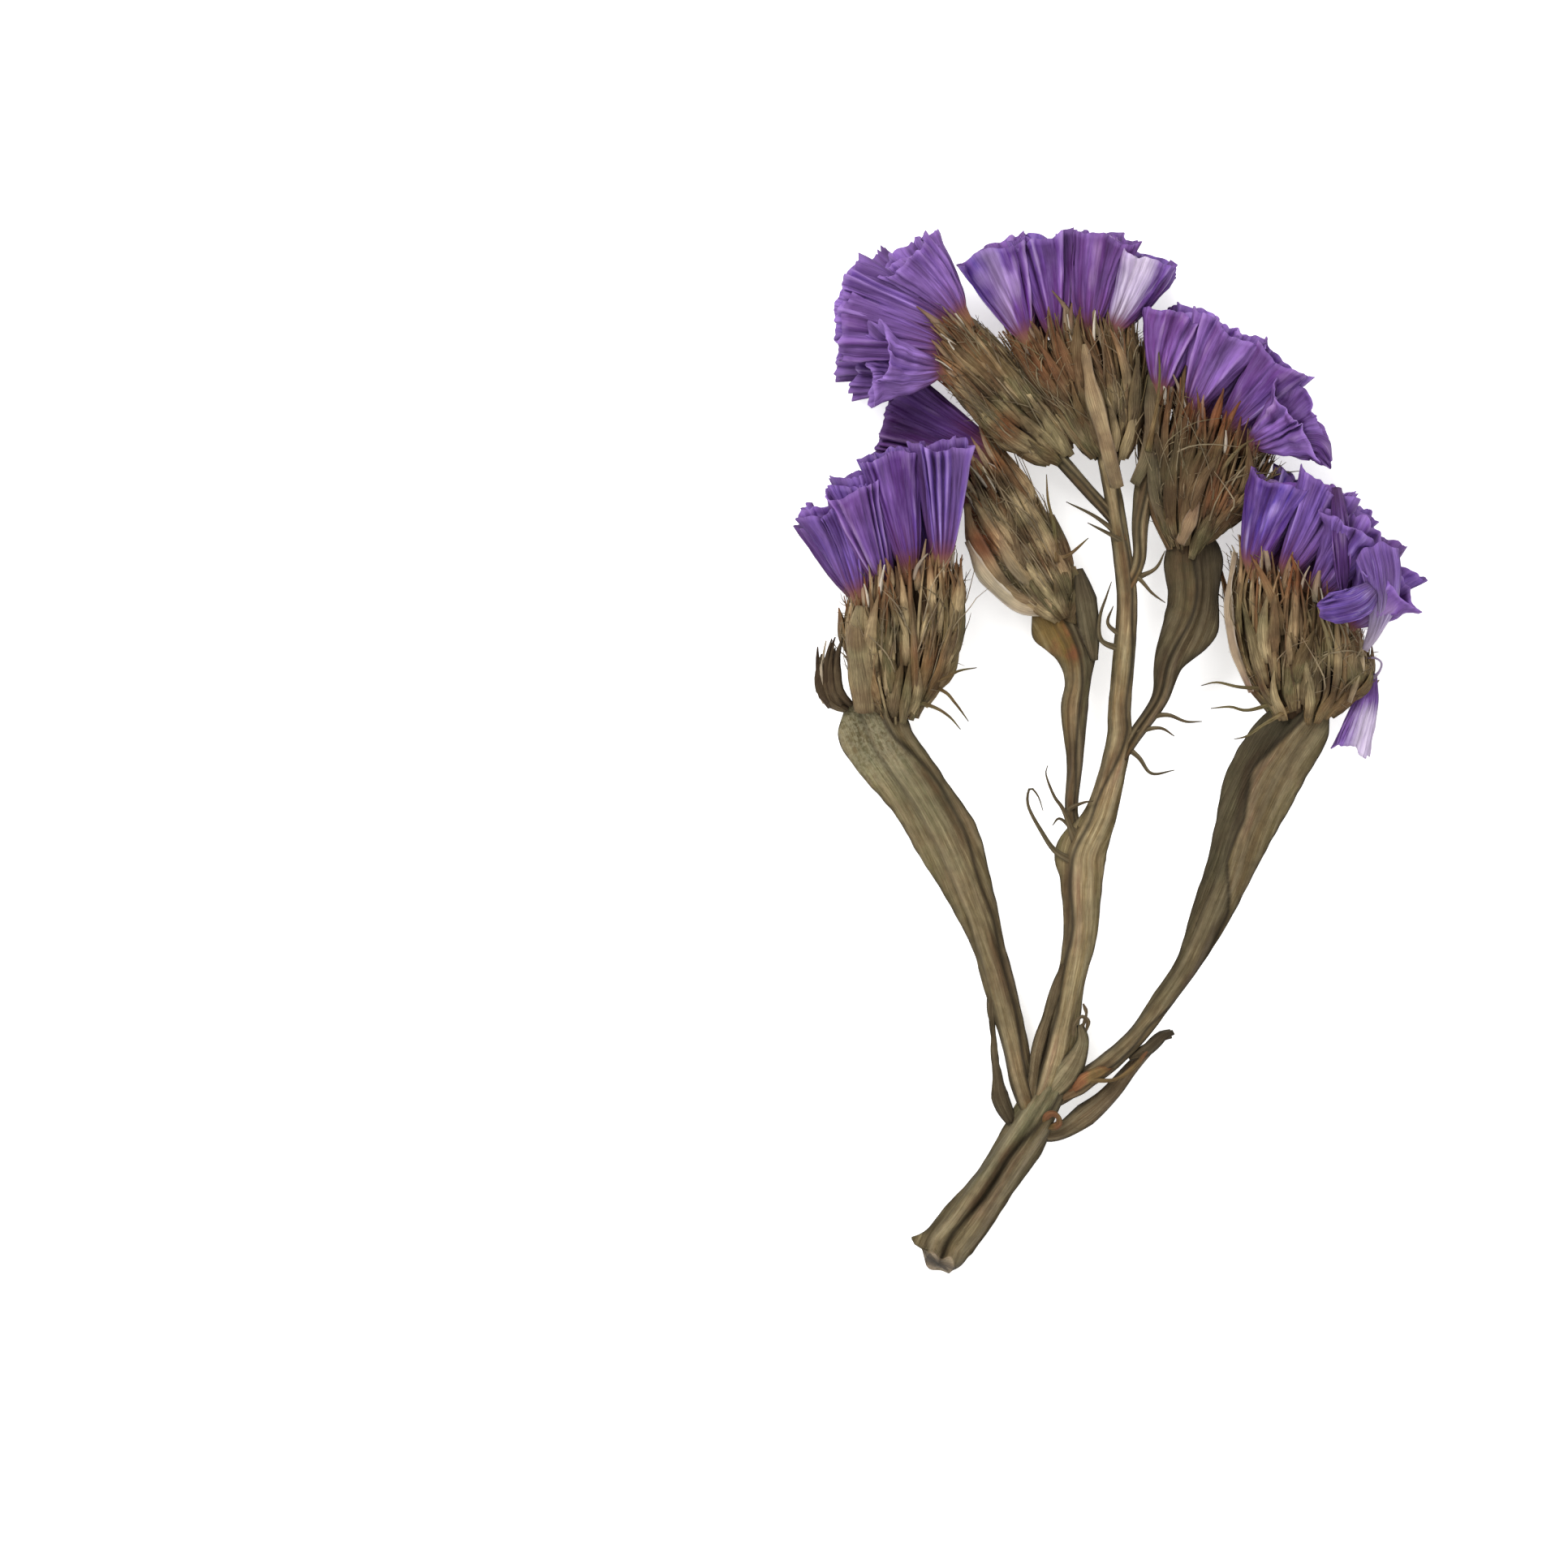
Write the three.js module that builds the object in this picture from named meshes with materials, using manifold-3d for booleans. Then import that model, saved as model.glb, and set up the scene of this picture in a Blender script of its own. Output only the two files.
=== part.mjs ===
// A dried statice sprig lying on a surface, in millimetres, with +Z up and the cut end towards -Y.
// One winged stem carries six heads. Each head is a tuft of pointed bracts with papery calyces in it.

import * as THREE from 'three';
import { mergeVertices } from 'three/addons/utils/BufferGeometryUtils.js';
import Module from 'manifold-3d';

const wasm = await Module();
wasm.setup();

// Driving dimensions: the gap between pieces, the thickness of a blade, and the smallest details kept
const GAP = 0.3;
const BLADE = 0.6;
const WELD = 1e-4;
const SHORTEST_EDGE = 0.006;

// A calyx: radii of the tube, its throat and its mouth, how the funnel widens and how deep it is
// hollowed, its pleats, and how far its tube reaches in among the bracts
const CALYX = { tube: 0.36, throat: 0.55, mouth: 2.0, root: 1.2, wall: 0.7, flat: 0.85 };
const FUNNEL = { ribs: 8, waist: 0.4, waistWidth: 0.62, dish: 0.6, pleat: 0.13, scallop: 0.35 };
const CALYX_ROOM = { sides: 6, waistWidth: 0.7, spare: 0.05 };

// A bract, and where its root and tip stand on its tuft as shares of the tuft's width
const BRACT = { width: 0.6, foot: 0.7, length: 5.2, keel: 0.7, bulge: 0.5, belly: 0.45 };
const BRACT_REACH = { sunk: 0.7, flare: 1.12 };

// Half the depth of a head at its foot and throat, and of the calyces at their throats and rims
const DEPTH = { foot: 0.8, throat: 2.3, tube: 1.4, rim: 2.5 };
const CORE = { sides: 7, heights: [-0.06, 0.2, 0.6, 0.94], widths: [0.55, 0.82, 0.84, 0.6] };

// How much the repeats differ: place along the head, throat, rim, size, and a bract's turn and length
const SPREAD = { along: 0.2, throat: 0.5, rim: 1, size: 0.16, bractTurn: 0.3, bractLength: 0.2 };

// The ridged core of a stem, the keel of a blade, and the radii of a curled tip
const RIDGE = { crestAt: 0.5, shoulder: 0.6, under: 0.6 };
const KEEL = 0.08;
const CURL = { root: 0.4, tip: 0.17 };

// Materials
const paint = (color, roughness) => new THREE.MeshStandardMaterial({ color, roughness, metalness: 0 });
const FINISH = {
  stem: paint(0x7b6a47, 0.8),
  bracts: paint(0x6d5b3c, 0.9),
  calyces: paint(0x6f47ad, 0.7),
};

// Heads. Three points each for the foot of the tuft, where the tubes come out, and the middle of the
// rims. Each row holds its number of calyces, its depth, from -1 at the back to 1 in front, and the
// stretch of the head that it covers. Each ring holds its number of bracts and the height that they
// root at.
const HEADS = [
  {
    name: 'lower_left',
    base: [[-15.9, 3.0, 4.2], [-13.7, 2.3, 4.3], [-11.4, 4.1, 4.4]],
    throat: [[-16.2, 8.9, 4.2], [-13.4, 11.0, 4.6], [-9.5, 11.8, 5.1]],
    rim: [[-18.1, 12.8, 4.2], [-15.1, 17.3, 5.1], [-9.1, 18.3, 6.0]],
    rows: [[2, -1, 0, 0.6], [3, -0.2, 0, 1], [4, 0.8, 0, 1]],
    rings: [[4, 0.04], [5, 0.2], [8, 0.4]],
    mouth: 1,
  },
  {
    name: 'middle_left',
    base: [[-3.9, 8.3, 3.3], [-3.1, 8.8, 3.3], [-2.3, 9.3, 3.3]],
    throat: [[-8.7, 15.2, 2.8], [-8.3, 17.4, 2.8], [-7.0, 19.1, 2.8]],
    rim: [[-13.0, 17.3, 2.3], [-13.6, 19.7, 2.5], [-11.8, 22.0, 2.7]],
    rows: [[2, -0.35, 0, 1], [3, 0.35, 0, 1]],
    rings: [[4, 0.04], [5, 0.24], [7, 0.5]],
    mouth: 0.85,
  },
  {
    name: 'upper_left',
    base: [[-2.6, 19.1, 4.2], [-3.5, 18.5, 4.2], [-4.7, 17.9, 4.2]],
    throat: [[-9.2, 27.2, 4.6], [-10.4, 25.5, 4.7], [-10.3, 22.8, 4.6]],
    rim: [[-10.8, 31.4, 4.2], [-16.3, 28.3, 4.4], [-13.5, 22.7, 4.2]],
    rows: [[2, -1, 0, 1], [3, -0.1, 0, 1], [4, 0.8, 0, 1]],
    rings: [[4, 0.04], [5, 0.24], [7, 0.5]],
    mouth: 1,
  },
  {
    name: 'top',
    base: [[-2.3, 19.5, 4.7], [-0.4, 18.3, 4.7], [1.3, 18.9, 4.7]],
    throat: [[-6.4, 25.2, 4.7], [-2.6, 26.1, 4.9], [1.6, 25.8, 4.7]],
    rim: [[-9.0, 29.2, 4.1], [-2.9, 32.0, 4.4], [3.9, 29.3, 4.1]],
    rows: [[2, -1, 0, 1], [3, -0.1, 0, 1], [4, 0.8, 0, 1]],
    rings: [[4, 0.04], [5, 0.2], [8, 0.4]],
    mouth: 1,
  },
  {
    name: 'upper_right',
    base: [[3.0, 13.7, 4.5], [4.8, 12.5, 4.5], [6.4, 13.7, 4.5]],
    throat: [[2.5, 22.6, 4.4], [6.0, 20.6, 4.6], [10.0, 18.0, 4.4]],
    rim: [[2.6, 26.3, 4.2], [8.8, 25.2, 4.7], [13.3, 17.6, 4.3]],
    rows: [[2, -1, 0, 1], [3, -0.1, 0, 1], [4, 0.8, 0, 1]],
    rings: [[4, 0.04], [5, 0.2], [8, 0.42]],
    mouth: 1,
  },
  {
    name: 'lower_right',
    base: [[9.1, 3.2, 4.2], [11.7, 2.3, 4.3], [14.5, 3.0, 4.2]],
    throat: [[7.6, 11.8, 4.3], [11.8, 10.5, 4.7], [15.5, 7.0, 4.3]],
    rim: [[8.8, 17.0, 4.1], [14.7, 15.3, 4.6], [17.9, 9.4, 4.1]],
    rows: [[2, -1, 0, 1], [3, -0.1, 0, 1], [4, 0.8, 0, 1]],
    rings: [[4, 0.04], [5, 0.2], [8, 0.4]],
    mouth: 1,
  },
];

// The single calyx that hangs beside the lower right head: root, throat and middle of the rim
const LOOSE_CALYX = { root: [16.3, 6.1, 4.4], throat: [15.9, 3.4, 4.1], rim: [14.9, 0.2, 3.4], mouth: 0.55 };

// Stem pieces. Columns: x, y, z, left wing, right wing, core, crest, groove, left lift, right lift.
const LEAFY_STEMS = [
  [
    [-10.8, -32.2, 1.3, 0.9, 0.9, 0.8, 1.3, 0.6, 0, 0],
    [-10.45, -31.5, 1.3, 2.2, 1.3, 1.0, 1.3, 0.6, 0.3, 0],
    [-9.95, -30.5, 1.3, 1.6, 1.5, 1.0, 1.3, 0.6, 0.1, 0],
    [-9.0, -29.3, 1.3, 1.6, 1.45, 1.0, 1.3, 0.6, 0, 0],
    [-7.4, -27.0, 1.3, 1.25, 1.4, 0.9, 1.3, 0.6, 0, 0],
    [-5.4, -24.1, 1.3, 1.45, 1.45, 0.9, 1.3, 0.7, 0, 0],
    [-4.1, -22.1, 1.5, 1.6, 0.95, 0.9, 1.1, 0.8, 0, 0],
    [-3.4, -20.8, 1.7, 0.8, 0.8, 0.6, 0.7, 0.6, 0, 0],
  ],
  [
    [-4.7, -22.8, 1.5, 0.5, 0.5, 0.4, 0.5, 0.4, 0, 0],
    [-5.4, -20.8, 1.6, 0.7, 0.7, 0.5, 0.7, 0.6, 0, 0],
    [-6.0, -18.2, 1.8, 0.65, 0.95, 0.5, 0.7, 0.6, 0, 0],
    [-7.0, -14.1, 2.1, 0.95, 1.05, 0.5, 0.7, 0.7, 0, 0.1],
    [-7.6, -12.2, 2.2, 0.9, 1.15, 0.5, 0.7, 0.7, 0, 0.3],
    [-8.5, -9.5, 2.5, 1.25, 1.45, 0.5, 0.7, 0.7, 0.1, 0.5],
    [-10.2, -5.5, 3.0, 1.85, 2.05, 0.55, 0.7, 0.7, -0.2, 0.7],
    [-11.9, -2.4, 3.4, 2.1, 1.8, 0.6, 0.7, 0.7, 0.3, 0.4],
    [-13.7, 0.3, 3.9, 2.55, 1.75, 0.7, 0.8, 0.8, -0.1, 0.6],
    [-14.4, 1.9, 4.1, 2.6, 1.7, 0.7, 0.8, 0.8, 0.2, 0.3],
  ],
  [
    [-4.6, -22.4, 1.5, 0.5, 0.5, 0.4, 0.5, 0.4, 0, 0],
    [-3.5, -19.2, 1.9, 0.8, 1.0, 0.55, 0.75, 0.75, 0.2, 0],
    [-3.0, -17.0, 2.1, 0.95, 1.1, 0.55, 0.75, 0.75, -0.1, 0],
    [-2.4, -14.1, 2.4, 0.9, 0.9, 0.55, 0.75, 0.75, 0.1, 0],
    [-1.9, -11.2, 2.7, 1.0, 1.1, 0.6, 0.75, 0.75, 0, 0],
    [-1.8, -7.9, 3.0, 1.3, 1.3, 0.7, 0.8, 0.8, 0, 0],
    [-1.7, -6.2, 3.1, 1.7, 1.5, 0.7, 0.8, 0.8, 0, 0],
    [-0.6, -3.7, 3.3, 0.95, 1.05, 0.6, 0.75, 0.75, 0, 0],
    [0.5, 0.5, 3.6, 0.8, 0.75, 0.5, 0.65, 0.65, 0, 0],
    [0.6, 2.8, 3.7, 0.75, 0.65, 0.5, 0.65, 0.65, 0, 0],
    [1.0, 8.5, 4.0, 0.7, 0.65, 0.48, 0.6, 0.6, 0, 0],
    [0.8, 11.2, 4.2, 0.6, 0.6, 0.48, 0.6, 0.6, 0, 0],
    [0.2, 15.2, 4.4, 0.55, 0.55, 0.42, 0.55, 0.55, 0, 0],
    [-0.5, 18.6, 4.6, 0.5, 0.5, 0.4, 0.5, 0.5, 0, 0],
  ],
  [
    [-4.5, -22.2, 1.5, 0.5, 0.5, 0.4, 0.5, 0.4, 0, 0],
    [-2.2, -20.7, 1.7, 0.65, 0.65, 0.5, 0.6, 0.5, 0, 0],
    [-0.4, -19.5, 1.9, 0.65, 0.65, 0.5, 0.6, 0.5, 0, 0],
    [1.6, -17.7, 2.1, 0.65, 0.6, 0.48, 0.6, 0.5, 0, 0],
    [3.3, -15.6, 2.3, 0.85, 0.5, 0.48, 0.6, 0.6, 0, 0],
    [5.0, -13.0, 2.6, 0.9, 0.65, 0.48, 0.6, 0.6, 0, 0.1],
    [6.5, -9.5, 3.0, 1.4, 1.25, 0.5, 0.65, 0.65, 0.4, 0],
    [7.4, -7.2, 3.2, 1.55, 1.5, 0.5, 0.65, 0.65, 0.6, -0.2],
    [8.1, -5.0, 3.4, 1.8, 1.9, 0.5, 0.65, 0.65, 0.3, 0.3],
    [9.2, -2.4, 3.7, 2.3, 2.1, 0.55, 0.7, 0.7, 0.6, -0.1],
    [10.6, 0.0, 4.0, 2.4, 2.05, 0.6, 0.7, 0.7, 0.2, 0.3],
    [11.8, 1.8, 4.1, 1.9, 1.85, 0.6, 0.7, 0.7, 0.3, 0.2],
  ],
  [
    [-1.6, -6.4, 3.0, 0.4, 0.4, 0.3, 0.4, 0.35, 0, 0],
    [-2.3, -4.4, 2.9, 0.42, 0.42, 0.3, 0.4, 0.35, 0, 0],
    [-2.4, -3.2, 2.8, 0.42, 0.42, 0.3, 0.4, 0.35, 0, 0],
    [-2.1, -0.8, 2.7, 0.6, 0.4, 0.3, 0.45, 0.4, 0, 0],
    [-2.2, 2.5, 2.8, 0.85, 0.8, 0.35, 0.45, 0.45, 0.1, 0],
    [-1.9, 4.3, 2.9, 0.95, 0.7, 0.35, 0.45, 0.45, 0, 0.2],
    [-2.1, 6.1, 3.0, 1.4, 1.3, 0.4, 0.5, 0.5, 0.3, -0.1],
    [-2.9, 8.0, 3.1, 2.2, 1.7, 0.5, 0.5, 0.5, 0, 0.2],
    [-3.7, 9.4, 3.1, 1.4, 1.1, 0.5, 0.5, 0.5, 0.2, 0],
  ],
  [
    [0.7, 12.9, 4.3, 0.4, 0.4, 0.3, 0.4, 0.35, 0, 0],
    [0.2, 14.2, 4.3, 0.4, 0.4, 0.3, 0.4, 0.35, 0, 0],
    [-1.5, 16.1, 4.2, 0.4, 0.4, 0.3, 0.4, 0.35, 0, 0],
    [-3.6, 18.5, 4.2, 0.45, 0.45, 0.3, 0.4, 0.35, 0, 0],
  ],
  [
    [0.6, -0.4, 3.6, 0.4, 0.4, 0.3, 0.4, 0.35, 0, 0],
    [1.6, 1.1, 3.6, 0.45, 0.45, 0.3, 0.4, 0.35, 0, 0],
    [3.0, 3.2, 3.7, 0.55, 0.55, 0.35, 0.45, 0.4, 0, 0],
    [3.6, 5.5, 3.8, 0.95, 0.95, 0.4, 0.5, 0.45, 0.2, 0],
    [4.7, 7.8, 4.0, 1.5, 1.9, 0.4, 0.5, 0.5, -0.1, 0.4],
    [5.1, 9.6, 4.2, 1.6, 1.5, 0.45, 0.5, 0.5, 0.3, 0],
    [5.0, 12.0, 4.4, 1.8, 1.9, 0.5, 0.5, 0.5, 0, 0.2],
  ],
  [
    [0.9, 9.9, 4.2, 0.4, 0.4, 0.3, 0.4, 0.35, 0, 0],
    [1.7, 11.7, 4.4, 0.4, 0.4, 0.3, 0.4, 0.35, 0, 0],
    [1.8, 14.0, 4.5, 0.55, 0.5, 0.3, 0.4, 0.35, 0, 0],
    [2.3, 17.0, 4.6, 0.8, 0.6, 0.3, 0.4, 0.35, 0, 0],
  ],
];

// Blades that leave the stem. Columns: x, y, z, half width.
const STEM_BLADES = [
  [
    [-7.1, -13.6, 2.1, 0.35], [-7.5, -15.8, 2.0, 0.32], [-7.2, -17.8, 1.8, 0.3],
    [-7.0, -19.9, 1.6, 0.32], [-6.8, -21.4, 1.5, 0.6], [-5.2, -23.6, 1.4, 0.35],
  ],
  [[-3.7, -21.2, 1.9, 0.5], [-2.3, -19.4, 2.4, 0.85], [-1.8, -18.0, 2.6, 0.5], [-1.6, -16.8, 2.9, 0.2]],
  [
    [-4.9, -23.7, 1.3, 0.35], [-3.2, -23.4, 1.2, 0.5], [-1.0, -22.0, 1.1, 0.85],
    [0.3, -20.9, 1.2, 0.8], [1.6, -19.2, 1.4, 0.6], [3.0, -17.7, 1.6, 0.5], [3.8, -17.5, 1.7, 0.2],
  ],
  [[-3.0, -21.4, 1.7, 0.35], [-1.7, -20.6, 2.4, 0.5], [-0.4, -19.7, 1.9, 0.4]],
  [[-4.9, -21.6, 1.8, 0.3], [-4.5, -18.6, 2.1, 0.4], [-3.6, -15.9, 2.4, 0.4], [-2.8, -13.2, 2.6, 0.3]],
];

// Curled wing tips on the stem. Columns: x, y, z.
const STEM_CURLS = [
  [
    [-2.2, -6.9, 3.2], [-3.4, -6.2, 3.4], [-4.2, -5.1, 3.6], [-5.1, -3.4, 3.9],
    [-5.0, -2.3, 4.0], [-4.5, -2.8, 4.2], [-4.2, -3.7, 4.3],
  ],
  [[-2.2, -5.6, 3.2], [-2.9, -3.7, 3.6], [-3.5, -2.8, 3.8], [-4.0, -1.5, 4.0], [-3.9, -0.9, 4.1]],
  [[-2.4, -4.2, 2.9], [-2.5, -3.6, 3.2], [-1.7, -3.2, 3.9], [-1.1, -3.1, 4.2]],
  [[-2.0, -5.2, 3.2], [-3.1, -4.2, 3.4], [-3.6, -4.6, 3.5]],
  [[0.8, 6.2, 3.9], [-0.6, 6.8, 4.1], [-0.7, 8.2, 4.3], [-0.3, 9.5, 4.5], [0.0, 10.4, 4.9]],
  [[0.8, 7.0, 4.0], [-0.2, 7.8, 4.4], [0.1, 8.9, 4.9]],
  [[0.6, 13.2, 4.4], [-1.0, 14.4, 4.9], [-2.8, 15.3, 5.2]],
  [[0.8, 12.8, 4.5], [-0.1, 13.3, 5.2], [-1.5, 14.0, 5.6]],
  [[0.9, 11.3, 4.3], [1.8, 10.5, 4.6], [2.5, 9.7, 4.7], [3.3, 9.1, 4.9]],
  [[1.4, 10.6, 4.3], [2.7, 11.2, 4.5], [3.3, 12.3, 4.9]],
  [[2.2, 2.1, 3.7], [3.5, 2.2, 3.9], [4.6, 1.8, 4.0], [5.6, 1.8, 4.1]],
  [[1.6, 1.2, 3.7], [3.0, 1.4, 4.0], [3.9, 0.9, 4.1]],
  [[0.7, 0.4, 3.6], [1.7, -0.4, 3.8], [2.5, -1.4, 3.9], [3.9, -1.2, 4.1]],
];

// Curled tips and dried bracts at the foot of a head, by head. Columns: x, y, z.
const HEAD_CURLS = {
  lower_left: [
    [[-12.4, 3.8, 5.0], [-10.4, 4.4, 5.3], [-9.4, 4.9, 5.4], [-8.3, 5.1, 5.5]],
    [[-12.2, 4.2, 4.6], [-10.4, 3.7, 4.8], [-9.6, 2.9, 4.9], [-8.8, 1.8, 5.0]],
    [[-12.8, 3.2, 4.9], [-11.0, 2.7, 5.3], [-10.0, 2.1, 5.4], [-9.3, 1.3, 5.5]],
  ],
  lower_right: [
    [[10.6, 3.8, 4.8], [8.0, 3.9, 5.0], [6.5, 4.2, 5.1], [5.5, 4.0, 5.2]],
    [[10.8, 3.2, 4.4], [8.5, 2.5, 4.6], [7.3, 2.7, 4.7], [6.1, 2.6, 4.8]],
    [[11.0, 2.6, 4.8], [9.2, 1.5, 5.3], [8.3, 0.9, 5.4], [7.5, 0.7, 5.5]],
  ],
};

// Broad dried bracts beside a head, by head. Columns: x, y, z, half width.
const HEAD_BLADES = {
  lower_left: [[
    [-14.2, 3.2, 4.2, 0.4], [-16.8, 2.9, 4.0, 0.7], [-18.0, 4.8, 3.8, 0.7], [-17.4, 7.8, 3.9, 0.25],
  ]],
  middle_left: [
    [[-3.0, 8.6, 3.2, 0.5], [-5.4, 8.7, 3.4, 0.6], [-7.9, 10.8, 3.6, 0.6], [-9.2, 12.8, 3.8, 0.2]],
    [[-2.6, 8.0, 3.3, 0.5], [-2.0, 9.6, 3.6, 0.6], [-2.3, 11.4, 3.9, 0.2]],
  ],
};

// Steps of the even scatter that stands in for chance, one for each thing that varies
const SCATTER = { along: 0.618034, turn: 0.754878, size: 0.569840, rim: 0.414214, side: 0.324718 };

const vector = (row) => new THREE.Vector3(row[0], row[1], row[2]);

// A number between -0.5 and 0.5 that belongs to a counter and one kind of variation
function scatter(counter, step) {
  const whole = (counter + 1) * step;
  return whole - Math.floor(whole) - 0.5;
}

// The point at a share of the way along the parabola through three points
function through(points, share) {
  const weights = [
    (2 * share - 1) * (share - 1),
    4 * share * (1 - share),
    share * (2 * share - 1),
  ];
  const place = new THREE.Vector3();
  points.forEach((row, number) => place.addScaledVector(vector(row), weights[number]));
  return place;
}

// Two directions square to a way: one lying level, the other upwards
function sides(way) {
  const level = way.clone().cross(new THREE.Vector3(0, 0, 1)).normalize();
  const upward = level.clone().cross(way).normalize();
  return { level, upward };
}

// The direction of a row of points at one of them
function wayAt(points, number) {
  const before = points[Math.max(number - 1, 0)];
  const after = points[Math.min(number + 1, points.length - 1)];
  return after.clone().sub(before).normalize();
}

// Places with the first and the last drawn out along their own way
function drawnOut(places, reach) {
  const last = places.length - 1;
  const outward = (number) => {
    if (number === 0) {
      return -reach;
    }
    return number === last ? reach : 0;
  };
  return places.map((place, number) => place.clone().addScaledVector(wayAt(places, number), outward(number)));
}

// A closed body through rings of equally many points. A ring of one point is a tip. Any other end
// is closed by a fan. mirrored lists the columns whose squares are split along the other diagonal.
function skin(rings, mirrored = []) {
  const corners = [];
  const faces = [];
  const starts = rings.map((ring) => {
    const start = corners.length;
    corners.push(...ring);
    return start;
  });
  const around = Math.max(...rings.map((ring) => ring.length));
  for (let band = 0; band + 1 < rings.length; band += 1) {
    for (let column = 0; column < around; column += 1) {
      const next = (column + 1) % around;
      const [low, high] = [starts[band], starts[band + 1]];
      if (rings[band].length === 1) {
        faces.push([low, high + next, high + column]);
      } else if (rings[band + 1].length === 1) {
        faces.push([low + column, low + next, high]);
      } else if (mirrored.includes(column)) {
        faces.push([low + column, low + next, high + column]);
        faces.push([low + next, high + next, high + column]);
      } else {
        faces.push([low + column, low + next, high + next]);
        faces.push([low + column, high + next, high + column]);
      }
    }
  }
  const closeEnd = (ring, start, turned) => {
    if (ring.length === 1) {
      return;
    }
    const middle = corners.length;
    const centre = ring.reduce((sum, corner) => sum.add(corner), new THREE.Vector3());
    corners.push(centre.divideScalar(ring.length));
    for (let column = 0; column < around; column += 1) {
      const edge = [start + column, start + ((column + 1) % around)];
      faces.push(turned ? [middle, edge[1], edge[0]] : [middle, edge[0], edge[1]]);
    }
  };
  closeEnd(rings[0], starts[0], true);
  closeEnd(rings[rings.length - 1], starts[rings.length - 1], false);
  const geometry = new THREE.BufferGeometry().setFromPoints(corners);
  geometry.setIndex(faces.flat());
  return geometry;
}

// A closed geometry as a solid with its faces outwards
function solid(geometry) {
  const welded = mergeVertices(geometry, WELD);
  const places = welded.attributes.position.array;
  const index = Uint32Array.from(welded.index.array);
  const corner = (slot) => new THREE.Vector3().fromArray(places, index[slot] * 3);
  let volume = 0;
  for (let slot = 0; slot < index.length; slot += 3) {
    volume += corner(slot).dot(corner(slot + 1).cross(corner(slot + 2)));
  }
  if (volume < 0) {
    for (let slot = 0; slot < index.length; slot += 3) {
      [index[slot], index[slot + 1]] = [index[slot + 1], index[slot]];
    }
  }
  const mesh = new wasm.Mesh({ numProp: 3, vertProperties: places, triVerts: index });
  return new wasm.Manifold(mesh);
}

const join = (solids) => wasm.Manifold.union(solids);

// A stretch of winged stem: a ridged core with a thin wing on each side
function leafyStem(rows) {
  const places = rows.map(vector);
  const rings = rows.map((row, number) => {
    const [left, right, core, crest, groove, leftLift, rightLift] = row.slice(3);
    const { level, upward } = sides(wayAt(places, number));
    const edge = BLADE / 2;
    const shoulder = Math.max(edge, RIDGE.shoulder * crest);
    const section = [
      [right, rightLift - edge],
      [right, rightLift + edge],
      [core, shoulder],
      [RIDGE.crestAt * core, crest],
      [0, groove],
      [-RIDGE.crestAt * core, crest],
      [-core, shoulder],
      [-left, leftLift + edge],
      [-left, leftLift - edge],
      [-RIDGE.under * core, -crest],
      [RIDGE.under * core, -crest],
    ];
    return section.map(([across, up]) => (
      places[number].clone().addScaledVector(level, across).addScaledVector(upward, up)
    ));
  });
  return solid(skin(rings, [1, 8]));
}

// A thin blade with a keel on both faces, drawn in to a point at its last row
function blade(rows, grow = 0) {
  const places = drawnOut(rows.map(vector), grow);
  const rings = rows.map((row, number) => {
    const { level, upward } = sides(wayAt(places, number));
    const half = row[3] + grow;
    const rise = BLADE / 2 + KEEL + grow;
    return [[half, 0], [0, rise], [-half, 0], [0, -rise]].map(([across, up]) => (
      places[number].clone().addScaledVector(level, across).addScaledVector(upward, up)
    ));
  });
  return solid(skin(rings, [1, 3]));
}

// A thin curled tip, three-sided, that tapers along its points
function curl(rows, grow = 0) {
  const route = new THREE.CatmullRomCurve3(rows.map(vector));
  const steps = rows.length + 1;
  const places = drawnOut(route.getPoints(steps), grow);
  const rings = places.map((place, number) => {
    const { level, upward } = sides(wayAt(places, number));
    const radius = THREE.MathUtils.lerp(CURL.root, CURL.tip, number / steps) + grow;
    return [0.25, 0.583, 0.917].map((turn) => {
      const angle = 2 * Math.PI * turn;
      const turned = place.clone().addScaledVector(level, radius * Math.cos(angle));
      return turned.addScaledVector(upward, radius * Math.sin(angle));
    });
  });
  return solid(skin(rings));
}

// A round body through points with a radius at each
function taper(places, radii, around, grow) {
  const rings = places.map((place, number) => {
    const { level, upward } = sides(wayAt(places, number));
    return Array.from({ length: around }, (_, spoke) => {
      const angle = (2 * Math.PI * spoke) / around;
      const radius = radii[number] + grow;
      const turned = place.clone().addScaledVector(level, radius * Math.cos(angle));
      return turned.addScaledVector(upward, radius * Math.sin(angle));
    });
  });
  return solid(skin(rings));
}

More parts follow.
